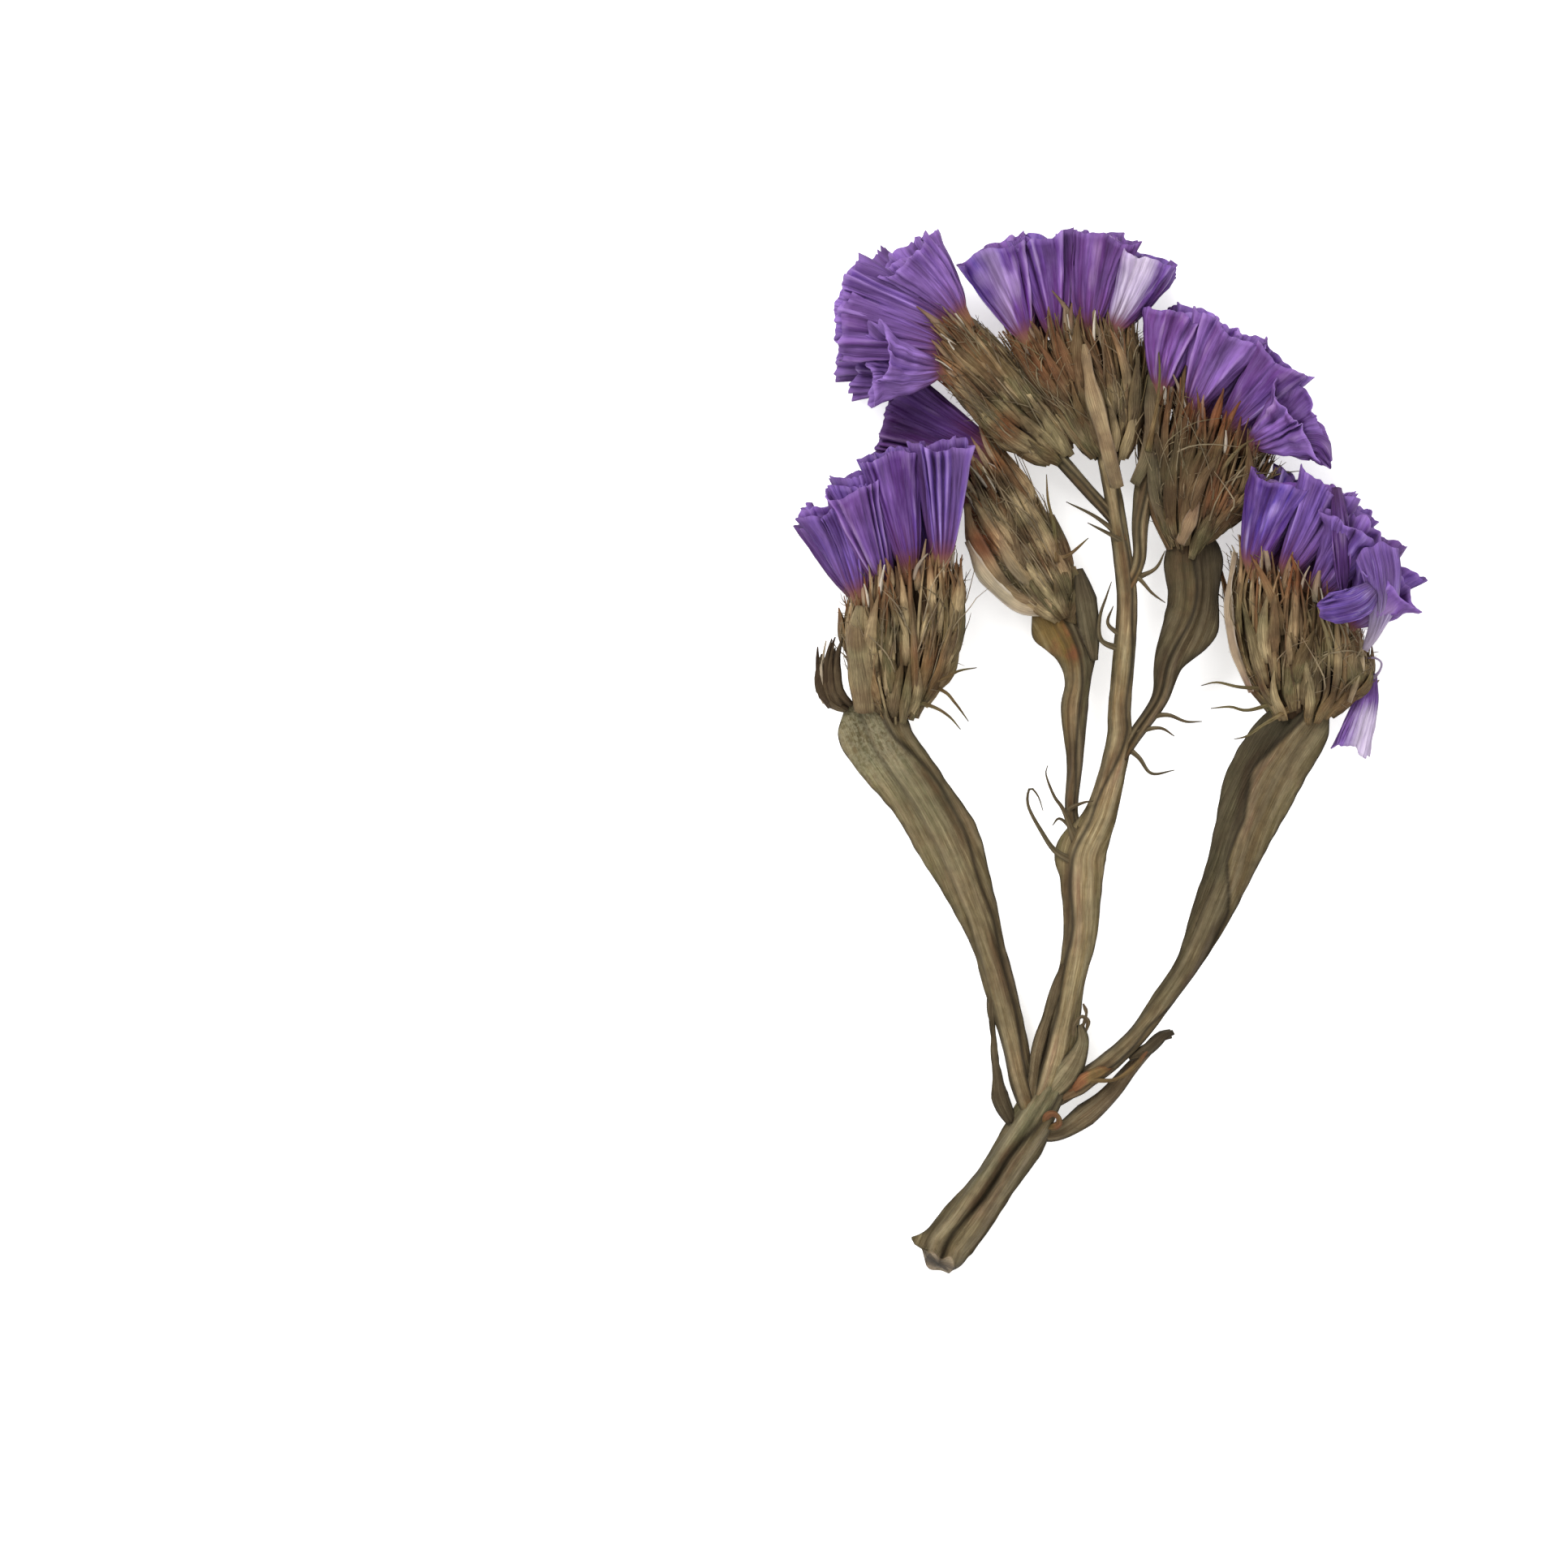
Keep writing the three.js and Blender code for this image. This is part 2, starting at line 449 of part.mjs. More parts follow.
// One calyx: a tube that opens into a pleated, scalloped funnel of paper
function calyx(spikelet) {
  const { throat, rim, mouth, turn } = spikelet;
  const way = rim.clone().sub(throat).normalize();
  const foot = throat.clone().addScaledVector(throat.clone().sub(spikelet.root).normalize(), -CALYX.root);
  const { level, upward } = sides(way);
  const ring = (centre, reach, pleat, scallop) => (
    Array.from({ length: FUNNEL.ribs }, (_, rib) => {
      const angle = (2 * Math.PI * rib) / FUNNEL.ribs + turn;
      const ridge = rib % 2 === 0 ? 1 : -1;
      const radius = reach * (1 + ridge * pleat);
      const place = centre.clone().addScaledVector(way, ridge * scallop);
      place.addScaledVector(level, radius * Math.cos(angle));
      return place.addScaledVector(upward, CALYX.flat * radius * Math.sin(angle));
    })
  );
  const width = CALYX.mouth * mouth;
  const middle = throat.clone().lerp(rim, FUNNEL.waist);
  const rings = [
    ring(foot, CALYX.tube, 0, 0),
    ring(throat, CALYX.throat, 0, 0),
    ring(middle, FUNNEL.waistWidth * width, FUNNEL.pleat / 2, 0),
    ring(rim, width, FUNNEL.pleat, FUNNEL.scallop),
    ring(rim, width - CALYX.wall, FUNNEL.pleat, FUNNEL.scallop),
    [throat.clone().lerp(rim, FUNNEL.dish)],
  ];
  return solid(skin(rings));
}

// The room that a calyx takes up, filled and with the gap all round
function calyxRoom(spikelet) {
  const { throat, rim, mouth } = spikelet;
  const back = throat.clone().sub(spikelet.root).normalize();
  const way = rim.clone().sub(throat).normalize();
  const foot = throat.clone().addScaledVector(back, -CALYX.root - GAP);
  const width = CALYX.mouth * mouth * (1 + FUNNEL.pleat);
  const middle = throat.clone().lerp(rim, FUNNEL.waist);
  const lip = rim.clone().addScaledVector(way, FUNNEL.scallop + GAP);
  const radii = [CALYX.tube, CALYX.throat, CALYX_ROOM.waistWidth * width, width];
  return taper([foot, throat, middle, lip], radii, CALYX_ROOM.sides, GAP + CALYX_ROOM.spare);
}

// One bract: a keeled, arched blade from its root to its tip
function bract(root, tip, outward, grow = 0) {
  const span = tip.clone().sub(root);
  const across = span.clone().cross(outward).normalize();
  const stations = [[0, BRACT.foot, 0], [BRACT.belly, 1, 1]];
  const rings = stations.map(([share, wide, arch]) => {
    const place = root.clone().addScaledVector(span, share).addScaledVector(outward, BRACT.bulge * arch);
    const half = BRACT.width * wide + grow;
    return [
      place.clone().addScaledVector(across, half).addScaledVector(outward, -grow),
      place.clone().addScaledVector(outward, BRACT.keel + grow),
      place.clone().addScaledVector(across, -half).addScaledVector(outward, -grow),
    ];
  });
  rings.push([tip.clone().addScaledVector(span.clone().normalize(), grow)]);
  return solid(skin(rings));
}

// The calyces of a head, row by row: root, throat, rim, mouth and turn
function calyxPlaces(head, seed) {
  const list = [];
  let counter = seed;
  for (const [count, depth, first, last] of head.rows) {
    for (let column = 0; column < count; column += 1) {
      const step = (column + 0.5 + SPREAD.along * scatter(counter, SCATTER.along)) / count;
      const share = THREE.MathUtils.lerp(first, last, step);
      const lean = (points, spread, jitter) => {
        const point = through(points, share);
        point.x += jitter * scatter(counter, SCATTER.rim);
        point.y += jitter * scatter(counter, SCATTER.side);
        point.z += depth * spread;
        return point;
      };
      list.push({
        root: lean(head.base, DEPTH.foot, 0),
        throat: lean(head.throat, DEPTH.tube, SPREAD.throat),
        rim: lean(head.rim, DEPTH.rim, SPREAD.rim),
        mouth: head.mouth * (1 + SPREAD.size * scatter(counter, SCATTER.size)),
        turn: 2 * Math.PI * scatter(counter, SCATTER.turn),
      });
      counter += 1;
    }
  }
  return list;
}

// The point of a tuft at a height from foot to throat and an angle round it, at a share of its width
function onTuft(head, height, angle, width = 1) {
  const share = 0.5 + 0.5 * width * Math.cos(angle);
  const low = through(head.base, share);
  const high = through(head.throat, share);
  low.z += DEPTH.foot * width * Math.sin(angle);
  high.z += DEPTH.throat * width * Math.sin(angle);
  return low.lerp(high, height);
}

// All the bracts of a head with the core that they root in
function bractTuft(head, grow = 0) {
  const spokes = Array.from({ length: CORE.sides }, (_, spoke) => (2 * Math.PI * spoke) / CORE.sides);
  const middleAt = (height) => onTuft(head, height, 0, 0);
  const length = middleAt(1).distanceTo(middleAt(0));
  const middles = drawnOut(CORE.heights.map(middleAt), grow);
  const rings = CORE.heights.map((height, number) => spokes.map((angle) => {
    const outward = onTuft(head, height, angle, CORE.widths[number]).sub(middleAt(height));
    return outward.setLength(outward.length() + grow).add(middles[number]);
  }));
  const parts = [solid(skin(rings))];
  head.rings.forEach(([count, height], number) => {
    for (let spoke = 0; spoke < count; spoke += 1) {
      const step = spoke + 0.5 * (number % 2) + SPREAD.bractTurn * scatter(spoke, SCATTER.turn);
      const angle = (2 * Math.PI * step) / count;
      const size = 1 + SPREAD.bractLength * scatter(spoke + number, SCATTER.size);
      const top = height + (BRACT.length * size) / length;
      const root = onTuft(head, height, angle, BRACT_REACH.sunk);
      const tip = onTuft(head, top, angle, BRACT_REACH.flare);
      const outward = onTuft(head, 0.5 * (height + top), angle).sub(middleAt(0.5 * (height + top)));
      parts.push(bract(root, tip, outward.normalize(), grow));
    }
  });
  (HEAD_CURLS[head.name] ?? []).forEach((rows) => parts.push(curl(rows, grow)));
  (HEAD_BLADES[head.name] ?? []).forEach((rows) => parts.push(blade(rows, grow)));
  return join(parts);
}

// The corners and faces of a mesh with the ends of each very short edge drawn together
function drawnTogether({ vertProperties: places, triVerts: index }) {
  const owner = Array.from({ length: places.length / 3 }, (_, corner) => corner);
  const ownerOf = (corner) => (owner[corner] === corner ? corner : ownerOf(owner[corner]));
  const spot = (corner) => new THREE.Vector3().fromArray(places, 3 * corner);
  for (let slot = 0; slot < index.length; slot += 1) {
    const next = slot % 3 === 2 ? slot - 2 : slot + 1;
    if (spot(index[slot]).distanceTo(spot(index[next])) < SHORTEST_EDGE) {
      owner[ownerOf(index[slot])] = ownerOf(index[next]);
    }
  }
  const faces = new Map();
  for (let slot = 0; slot < index.length; slot += 3) {
    const face = [0, 1, 2].map((step) => ownerOf(index[slot + step]));
    const key = [...face].sort().join();
    if (faces.has(key)) {
      faces.delete(key);
    } else if (new Set(face).size === 3) {
      faces.set(key, face);
    }
  }
  const geometry = new THREE.BufferGeometry();
  geometry.setAttribute('position', new THREE.BufferAttribute(places, 3));
  geometry.setIndex([...faces.values()].flat());
  return geometry;
}

// A named mesh of the largest body of a solid, which leaves loose scraps out
function meshOf(name, body, material) {
  const whole = solid(drawnTogether(body.getMesh())).decompose();
  const largest = whole.reduce((best, piece) => (piece.volume() > best.volume() ? piece : best));
  const { vertProperties, triVerts } = largest.getMesh();
  const geometry = new THREE.BufferGeometry();
  geometry.setAttribute('position', new THREE.BufferAttribute(vertProperties, 3));
  geometry.setIndex(new THREE.BufferAttribute(triVerts, 1));
  geometry.computeVertexNormals();
  const mesh = new THREE.Mesh(geometry, material);
  mesh.name = name;
  return mesh;
}

// Every piece with the room that it takes up. A later piece is cut back from the room of each
// earlier one, so that no two touch.
const pieces = [];
HEADS.forEach((head, number) => {
  const places = calyxPlaces(head, 10 * number);
  pieces.push({
    name: `${head.name}_calyces`,
    body: join(places.map(calyx)),
    room: join(places.map(calyxRoom)),
    material: FINISH.calyces,
  });
});
const loose = {
  root: vector(LOOSE_CALYX.root),
  throat: vector(LOOSE_CALYX.throat),
  rim: vector(LOOSE_CALYX.rim),
  mouth: LOOSE_CALYX.mouth,
  turn: 0,
};
pieces.push({ name: 'loose_calyx', body: calyx(loose), room: calyxRoom(loose), material: FINISH.calyces });
for (const head of HEADS) {
  pieces.push({
    name: `${head.name}_bracts`,
    body: bractTuft(head),
    room: bractTuft(head, GAP),
    material: FINISH.bracts,
  });
}
const stemParts = [
  ...LEAFY_STEMS.map((rows) => leafyStem(rows)),
  ...STEM_BLADES.map((rows) => blade(rows)),
  ...STEM_CURLS.map((rows) => curl(rows)),
];
pieces.push({ name: 'stem', body: join(stemParts), material: FINISH.stem });

const sprig = new THREE.Group();
pieces.forEach((piece, number) => {
  const rooms = pieces.slice(0, number).map((earlier) => earlier.room);
  const body = rooms.length > 0 ? piece.body.subtract(join(rooms)) : piece.body;
  sprig.add(meshOf(piece.name, body, piece.material));
});

// The frame's origin is under the middle of the sprig's box, on the surface
const box = new THREE.Box3().setFromObject(sprig);
const middle = box.getCenter(new THREE.Vector3());
sprig.position.set(-middle.x, -middle.y, -box.min.z);

export default sprig;
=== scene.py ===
"""A dried statice sprig that lies on a pale surface, dressed for a close look from above.

Lengths in the tables are millimetres, in the layout that the sprig's solids were drawn in.
Meshes are made in metres, in the frame that the solids have once they are packed.
"""

import logging
import math
from dataclasses import dataclass, field
from enum import Enum
from typing import Sequence

import bpy
import numpy as np
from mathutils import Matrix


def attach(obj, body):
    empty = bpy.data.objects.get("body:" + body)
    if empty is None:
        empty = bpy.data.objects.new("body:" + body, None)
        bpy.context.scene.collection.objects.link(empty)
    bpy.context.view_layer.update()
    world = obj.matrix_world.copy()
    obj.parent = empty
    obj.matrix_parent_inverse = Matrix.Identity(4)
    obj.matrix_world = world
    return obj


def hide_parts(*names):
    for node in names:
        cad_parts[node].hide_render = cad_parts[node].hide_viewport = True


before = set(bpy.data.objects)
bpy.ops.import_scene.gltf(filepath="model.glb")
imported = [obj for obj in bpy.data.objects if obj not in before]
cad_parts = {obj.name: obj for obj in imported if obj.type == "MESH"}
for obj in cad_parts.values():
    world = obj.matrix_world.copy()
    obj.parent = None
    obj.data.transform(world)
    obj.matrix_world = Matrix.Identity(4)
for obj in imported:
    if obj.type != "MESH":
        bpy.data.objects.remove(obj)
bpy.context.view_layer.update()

log = logging.getLogger("sprig")

Array = np.ndarray
Row = Sequence[float]
Marks = dict[str, Array]
Shade = tuple[int, int, int]
Route = tuple[Array, Array]
Draws = np.random.Generator
Piece = bpy.types.Object
Material = bpy.types.Material
Nodes = bpy.types.NodeTree
Socket = bpy.types.NodeSocket

MM = 0.001
SHIFT = (0.17987, 0.14729, 0.0)
LOWEST = 0.02
TURN = 2 * math.pi


class Step(Enum):
    """Steps of the even scatter that stands in for chance, one for each thing that varies."""

    ALONG = 0.618034
    TURN = 0.754878
    SIZE = 0.569840
    RIM = 0.414214
    SIDE = 0.324718


class Slot(Enum):
    """The record's material slots."""

    PAPER = "calyx_paper"
    BRACTS = "bracts"
    STEM = "stem"


def scatter(counter: int, step: Step) -> float:
    """Gives a number between -0.5 and 0.5 that belongs to a counter and a kind of variation.

    Args:
        counter: Which of the repeats it is.
        step: What varies.

    Returns:
        The number.
    """
    whole = (counter + 1) * step.value
    return whole - math.floor(whole) - 0.5


def through(points: Sequence[Row], share: float | Array) -> Array:
    """Finds places along the parabola through three points.

    Args:
        points: The three points.
        share: How far along, from 0 to 1, as one number or several.

    Returns:
        One place for each share.
    """
    share = np.asarray(share, float)[..., None]
    first, middle, last = (np.asarray(point, float) for point in points)
    return (
        (2 * share - 1) * (share - 1) * first
        + 4 * share * (1 - share) * middle
        + share * (2 * share - 1) * last
    )


def unit(vectors: Array) -> Array:
    """Gives vectors the length of one."""
    return vectors / np.maximum(np.linalg.norm(vectors, axis=-1, keepdims=True), 1e-9)


def sides(way: Array) -> tuple[Array, Array]:
    """Finds two directions square to a way.

    Args:
        way: One direction or several.

    Returns:
        A level direction and one that points upwards.
    """
    level = unit(np.cross(way, (0.0, 0.0, 1.0)))
    return level, unit(np.cross(level, way))


def pleat(turns: Array) -> Array:
    """Gives a folded wave between -1 and 1 with slightly rounded ridges."""
    folded = 4 * np.abs(turns - np.floor(turns + 0.5)) - 1
    return 0.75 * folded + 0.25 * np.sin(0.5 * math.pi * folded)


def wave(turns: Array, count: float, start: float) -> Array:
    """Gives a smooth wave that repeats a number of times in each turn."""
    return np.sin(TURN * (count * turns + start))


def ripple(distance: Array, pace: float | Array, start: float = 0.0) -> Array:
    """Gives a smooth wave along a distance, with so many millimetres to a radian."""
    return np.sin(distance / pace + TURN * start)


def bell(offset: Array, reach: float | Array) -> Array:
    """Gives a rounded bump: 1 at no offset, and next to nothing at twice its reach."""
    return np.exp(-((offset / reach) ** 2))


def smooth(share: Array) -> Array:
    """Eases a share between 0 and 1."""
    share = np.clip(share, 0, 1)
    return share * share * (3 - 2 * share)


def spline(rows: Sequence[Row], shares: Array) -> Array:
    """Runs a smooth curve through rows of numbers.

    Args:
        rows: The rows, of which the first three numbers are a place.
        shares: How far along the curve, from 0 to 1, measured by length.

    Returns:
        One row of numbers for each share.
    """
    knots = np.asarray(rows, float)
    padded = np.vstack([2 * knots[0] - knots[1], knots, 2 * knots[-1] - knots[-2]])
    spans = len(knots) - 1
    position = np.linspace(0, spans, 24 * spans + 1)
    span = np.minimum(position.astype(int), spans - 1)
    local = (position - span)[:, None]
    before, here, there, after = (padded[span + lag] for lag in range(4))
    curve = 0.5 * (
        2 * here
        + (there - before) * local
        + (2 * before - 5 * here + 4 * there - after) * local**2
        + (3 * here - before - 3 * there + after) * local**3
    )
    lengths = np.linalg.norm(np.diff(curve[:, :3], axis=0), axis=1)
    reached = np.concatenate([[0], np.cumsum(lengths)]) / lengths.sum()
    return np.stack([np.interp(shares, reached, column) for column in curve.T], axis=1)


def length_of(rows: Sequence[Row]) -> float:
    """Measures the straight length along rows of points."""
    return float(np.linalg.norm(np.diff(np.asarray(rows, float)[:, :3], axis=0), axis=1).sum())


def deselect() -> None:
    """Leaves nothing selected."""
    bpy.ops.object.select_all(action="DESELECT")


def select_only(piece: Piece) -> None:
    """Makes a piece the only one that is selected, and active.

    Args:
        piece: The piece.
    """
    deselect()
    piece.select_set(True)
    bpy.context.view_layer.objects.active = piece


@dataclass(frozen=True)
class Lattice:
    """A template mesh that is laid out again and again.

    Attributes:
        around: Share of a turn, or for a strip the place across it from -1 to 1.
        along: Share of the length.
        radius: 1 on the wall and 0 at a pole.
        faces: The corners of each face.
        rolled: Whether it closes on itself round its length.
    """

    around: Array
    along: Array
    radius: Array
    faces: tuple[tuple[int, ...], ...]
    rolled: bool

    @staticmethod
    def read(rolled: bool, rings: int = 0) -> "Lattice":
        """Reads the active template and takes it out of the scene.

        Args:
            rolled: Whether it closes on itself round its length.
            rings: The rings of a closed template, or 0 for an open one.

        Returns:
            The lattice.
        """
        template = bpy.context.object
        mesh = template.data
        places = np.array([vertex.co for vertex in mesh.vertices], float)
        faces = tuple(tuple(face.vertices) for face in mesh.polygons)
        reach = np.hypot(places[:, 0], places[:, 1])
        if rings:
            polar = np.arccos(np.clip(places[:, 2], -1, 1)) / math.pi * (rings + 1)
            along = 1 - np.clip((polar - 1) / (rings - 1), 0, 1)
            radius = (reach > 1e-4).astype(float)
        else:
            along = places[:, 2] if rolled else 0.5 * (places[:, 1] + 1)
            radius = np.ones(len(places))
        around = np.arctan2(places[:, 1], places[:, 0]) / TURN % 1 if rolled else places[:, 0]
        bpy.data.objects.remove(template)
        bpy.data.meshes.remove(mesh)
        return Lattice(around, along, radius, faces, rolled)

    @staticmethod
    def sleeve(columns: int, rows: int) -> "Lattice":
        """Makes an open sleeve: a ring that is extruded row by row.

        Args:
            columns: Its faces round it.
            rows: Its faces along it.

        Returns:
            The lattice.
        """
        deselect()
        bpy.ops.mesh.primitive_circle_add(vertices=columns, radius=1, fill_type="NOTHING")
        bpy.ops.object.mode_set(mode="EDIT")
        bpy.ops.mesh.select_all(action="SELECT")
        for _ in range(rows):
            bpy.ops.mesh.extrude_region_move(
                TRANSFORM_OT_translate={"value": (0, 0, 1 / rows)}
            )
        bpy.ops.mesh.select_all(action="SELECT")
        bpy.ops.mesh.normals_make_consistent(inside=False)
        bpy.ops.object.mode_set(mode="OBJECT")
        return Lattice.read(rolled=True)

    @staticmethod
    def strip(columns: int, rows: int) -> "Lattice":
        """Makes a flat strip of equal squares.

        Args:
            columns: Its faces across it.
            rows: Its faces along it.

        Returns:
            The lattice.
        """
        deselect()
        bpy.ops.mesh.primitive_grid_add(x_subdivisions=columns, y_subdivisions=rows, size=2)
        return Lattice.read(rolled=False)

    @staticmethod
    def rod(columns: int, rings: int) -> "Lattice":
        """Makes a closed rod with a pole at each end.

        Args:
            columns: Its faces round it.
            rings: Its rings of vertices between its poles.

        Returns:
            The lattice.
        """
        deselect()
        bpy.ops.mesh.primitive_uv_sphere_add(segments=columns, ring_count=rings + 1, radius=1)
        return Lattice.read(rolled=True, rings=rings)


@dataclass
class Fused:
    """Copies of lattices, laid out in millimetres, that become one piece."""

    places: list[Array] = field(default_factory=list)
    faces: list[tuple[int, ...]] = field(default_factory=list)
    loops: list[Array] = field(default_factory=list)
    marks: dict[str, list[Array]] = field(default_factory=dict)
    count: int = 0

    def add(self, lattice: Lattice, places: Array, paper: Array, marks: Marks) -> None:
        """Adds one copy.

        Args:
            lattice: The template.
            places: Where each of its vertices goes.
            paper: The flat pattern's coordinates of each vertex, across and along.
            marks: Masks between 0 and 1 for the finish, one number for each vertex.
        """
        corners = np.concatenate([np.asarray(face) for face in lattice.faces])
        pattern = paper[corners].copy()
        if lattice.rolled:
            start = 0
            turned = lattice.around[corners]
            for face in lattice.faces:
                part = slice(start, start + len(face))
                low = turned[part] < 0.25
                if low.any() and (turned[part] > 0.75).any():
                    pattern[part, 0] += low * self.whole_turn(paper)
                start += len(face)
        self.places.append(places)
        self.faces.extend(tuple(self.count + corner for corner in face) for face in lattice.faces)
        self.loops.append(pattern)
        for name, values in marks.items():
            self.marks.setdefault(name, []).append(np.broadcast_to(values, len(places)))
        self.count += len(places)

    @staticmethod
    def whole_turn(paper: Array) -> float:
        """Gives the width of the flat pattern of a rolled copy, which is one whole turn."""
        return float(np.ptp(paper[:, 0]))

    def piece(self, name: str, material: Material, wall: float = 0.0) -> Piece:
        """Makes the piece.

        Args:
            name: The piece's name.
            material: What it is made of.
            wall: The thickness to give open sheets, in millimetres, or 0 for closed copies.

        Returns:
            The piece, at the origin.
        """
        places = (np.concatenate(self.places) + SHIFT) * MM
        mesh = bpy.data.meshes.new(name)
        mesh.from_pydata(places.tolist(), [], self.faces)
        pattern = mesh.uv_layers.new(name="pattern")
        pattern.data.foreach_set("uv", np.concatenate(self.loops).astype(np.float32).ravel())
        for mark, values in self.marks.items():
            attribute = mesh.attributes.new(mark, "FLOAT", "POINT")
            attribute.data.foreach_set("value", np.concatenate(values).astype(np.float32))
        mesh.materials.append(material)
        piece = bpy.data.objects.new(name, mesh)
        bpy.context.scene.collection.objects.link(piece)
        select_only(piece)
        if wall:
            bpy.ops.object.modifier_add(type="SOLIDIFY")
            solidify = piece.modifiers[-1]
            solidify.thickness = wall * MM
            solidify.offset = 0
            bpy.ops.object.modifier_apply(modifier=solidify.name)
        bpy.ops.object.shade_smooth()
        return piece


def dressed(name: str, parts: Sequence[Piece], node: str) -> Piece:
    """Joins parts into a finished piece, above the surface, that stands for its node.

    Args:
        name: The piece's name.
        parts: The parts.
        node: The node in the frame.

    Returns:
        The piece.
    """
    select_only(parts[0])
    for part in parts[1:]:
        part.select_set(True)
    if len(parts) > 1:
        bpy.ops.object.join()
    piece = parts[0]
    piece.name = name
    places = np.empty(3 * len(piece.data.vertices), np.float32)
    piece.data.vertices.foreach_get("co", places)
    places = places.reshape(-1, 3)
    places[:, 2] = np.maximum(places[:, 2], LOWEST * MM)
    piece.data.vertices.foreach_set("co", places.ravel())
    piece.data.update()
    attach(piece, "root")
    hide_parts(node)
    log.info("%s stands for %s: %d faces", piece.name, node, len(piece.data.polygons))
    return piece


def laid_rod(
    lattice: Lattice, route: Sequence[Row], radii: Sequence[float], flat: float = 1.0
) -> Array:
    """Lays a rod along a route.

    Args:
        lattice: The rod.
        route: Points that it runs through.
        radii: Its radius at even steps along the route.
        flat: Its height as a share of its width.

    Returns:
        The places of the rod's vertices.
    """
    ring_shares, ring = np.unique(np.round(lattice.along, 5), return_inverse=True)
    centres = spline(route, ring_shares)[:, :3]
    level, upward = sides(unit(np.gradient(centres, axis=0)))
    reach = np.interp(ring_shares, np.linspace(0, 1, len(radii)), radii)
    angle = TURN * lattice.around
    spread = (lattice.radius * reach[ring])[:, None]
    return (
        centres[ring]
        + level[ring] * spread * np.cos(angle)[:, None]
        + upward[ring] * spread * flat * np.sin(angle)[:, None]
    )


# How the edges of a sheet ruffle: so many millimetres to a radian, and so far out of step.
RUFFLE_PACE, RUFFLE_LAG = 0.55, 1.7


@dataclass(frozen=True)
class Sheet:
    """How a narrow sheet lies along its route.

    Attributes:
        route: Points that it runs through.
        halves: Half its width at even steps along the route.
        facing: The way that its face looks, one for all or one for each point of the route.
        arch: How far its middle stands up, as a share of half its width.
        keel: How far a keel stands up in its middle, as a share of half its width.
        twist: How far it turns about its route, from its start to its end, in radians.
        ruffle: How far its edges wave, in millimetres.
    """

    route: Sequence[Row]
    halves: Sequence[float]
    facing: Row | Array = (0.0, 0.0, 1.0)
    arch: float = 0.4
    keel: float = 0.0
    twist: float = 0.0
    ruffle: float = 0.0

    def laid(self, lattice: Lattice) -> Array:
        """Lays a strip along the route.

        Args:
            lattice: The strip.

        Returns:
            The places of its vertices.
        """
        shares, row = np.unique(np.round(lattice.along, 5), return_inverse=True)
        centres = spline(self.route, shares)[:, :3]
        ways = unit(np.gradient(centres, axis=0))
        facing = np.asarray(self.facing, float)
        if facing.ndim == 2:
            steps = np.linspace(0, 1, len(facing))
            facing = np.stack([np.interp(shares, steps, part) for part in facing.T], axis=1)
        across = unit(np.cross(ways, np.broadcast_to(facing, ways.shape)))
        upward = unit(np.cross(across, ways))
        half = np.interp(shares, np.linspace(0, 1, len(self.halves)), self.halves)[row]
        place = lattice.around
        distance = length_of(self.route) * lattice.along
        phase = distance / RUFFLE_PACE + RUFFLE_LAG * np.sign(place)
        ruffle = self.ruffle * place**2 * np.sin(phase)
        raised = self.arch * (1 - place**2) + self.keel * np.maximum(0, 1 - 3 * np.abs(place))
        sideways = half * place
        lift = half * raised + ruffle
        turn = self.twist * lattice.along
        return (
            centres[row]
            + across[row] * (sideways * np.cos(turn) - lift * np.sin(turn))[:, None]
            + upward[row] * (sideways * np.sin(turn) + lift * np.cos(turn))[:, None]
        )


@dataclass(frozen=True)
class HeadPlan:
    """One flower head. Its foot, its throat and its rims are given by three points each.

    Attributes:
        name: Its name in the frame.
        base: Where the tuft of bracts starts.
        throat: Where the calyx tubes come out of the tuft.
        rim: The middle of the calyces' rims.
        rows: The calyces, row by row: how many, how deep they lie, from -1 at the back to 1 in
            front, and the start and end of the stretch of the head that they cover.
        mouth: How wide the calyces are.
        pleats: The folds round one calyx.
        shade: How dark the paper is painted, partly as painted shade on a head that lies behind.
        pale: The calyces that have lost their colour, by number.
        open: The calyces whose crumpled mouths turn up, by number.
        swell: How much fuller than a cone the tuft is.
        hue: From red-violet at 0 to blue-violet at 1, the range that its calyces have.
        light: How light its lightest paper is at least.
        gloom: How dark the tuft of bracts is painted: fewer bracts lit, and more painted shade.
        stains: Patches on the tuft: x, y, reach, how rusty and how dark.
    """

    name: str
    base: tuple[Row, Row, Row]
    throat: tuple[Row, Row, Row]
    rim: tuple[Row, Row, Row]
    rows: tuple[Row, ...]
    mouth: float = 1.0
    pleats: int = 12
    shade: float = 0.0
    pale: tuple[int, ...] = ()
    open: tuple[int, ...] = ()
    swell: float = 0.3
    hue: tuple[float, float] = (0.2, 0.9)
    light: float = 0.0
    gloom: float = 0.1
    stains: tuple[Row, ...] = ()


FULL_ROWS = ((2, -1, 0, 1), (3, -0.1, 0, 1), (4, 0.8, 0, 1))

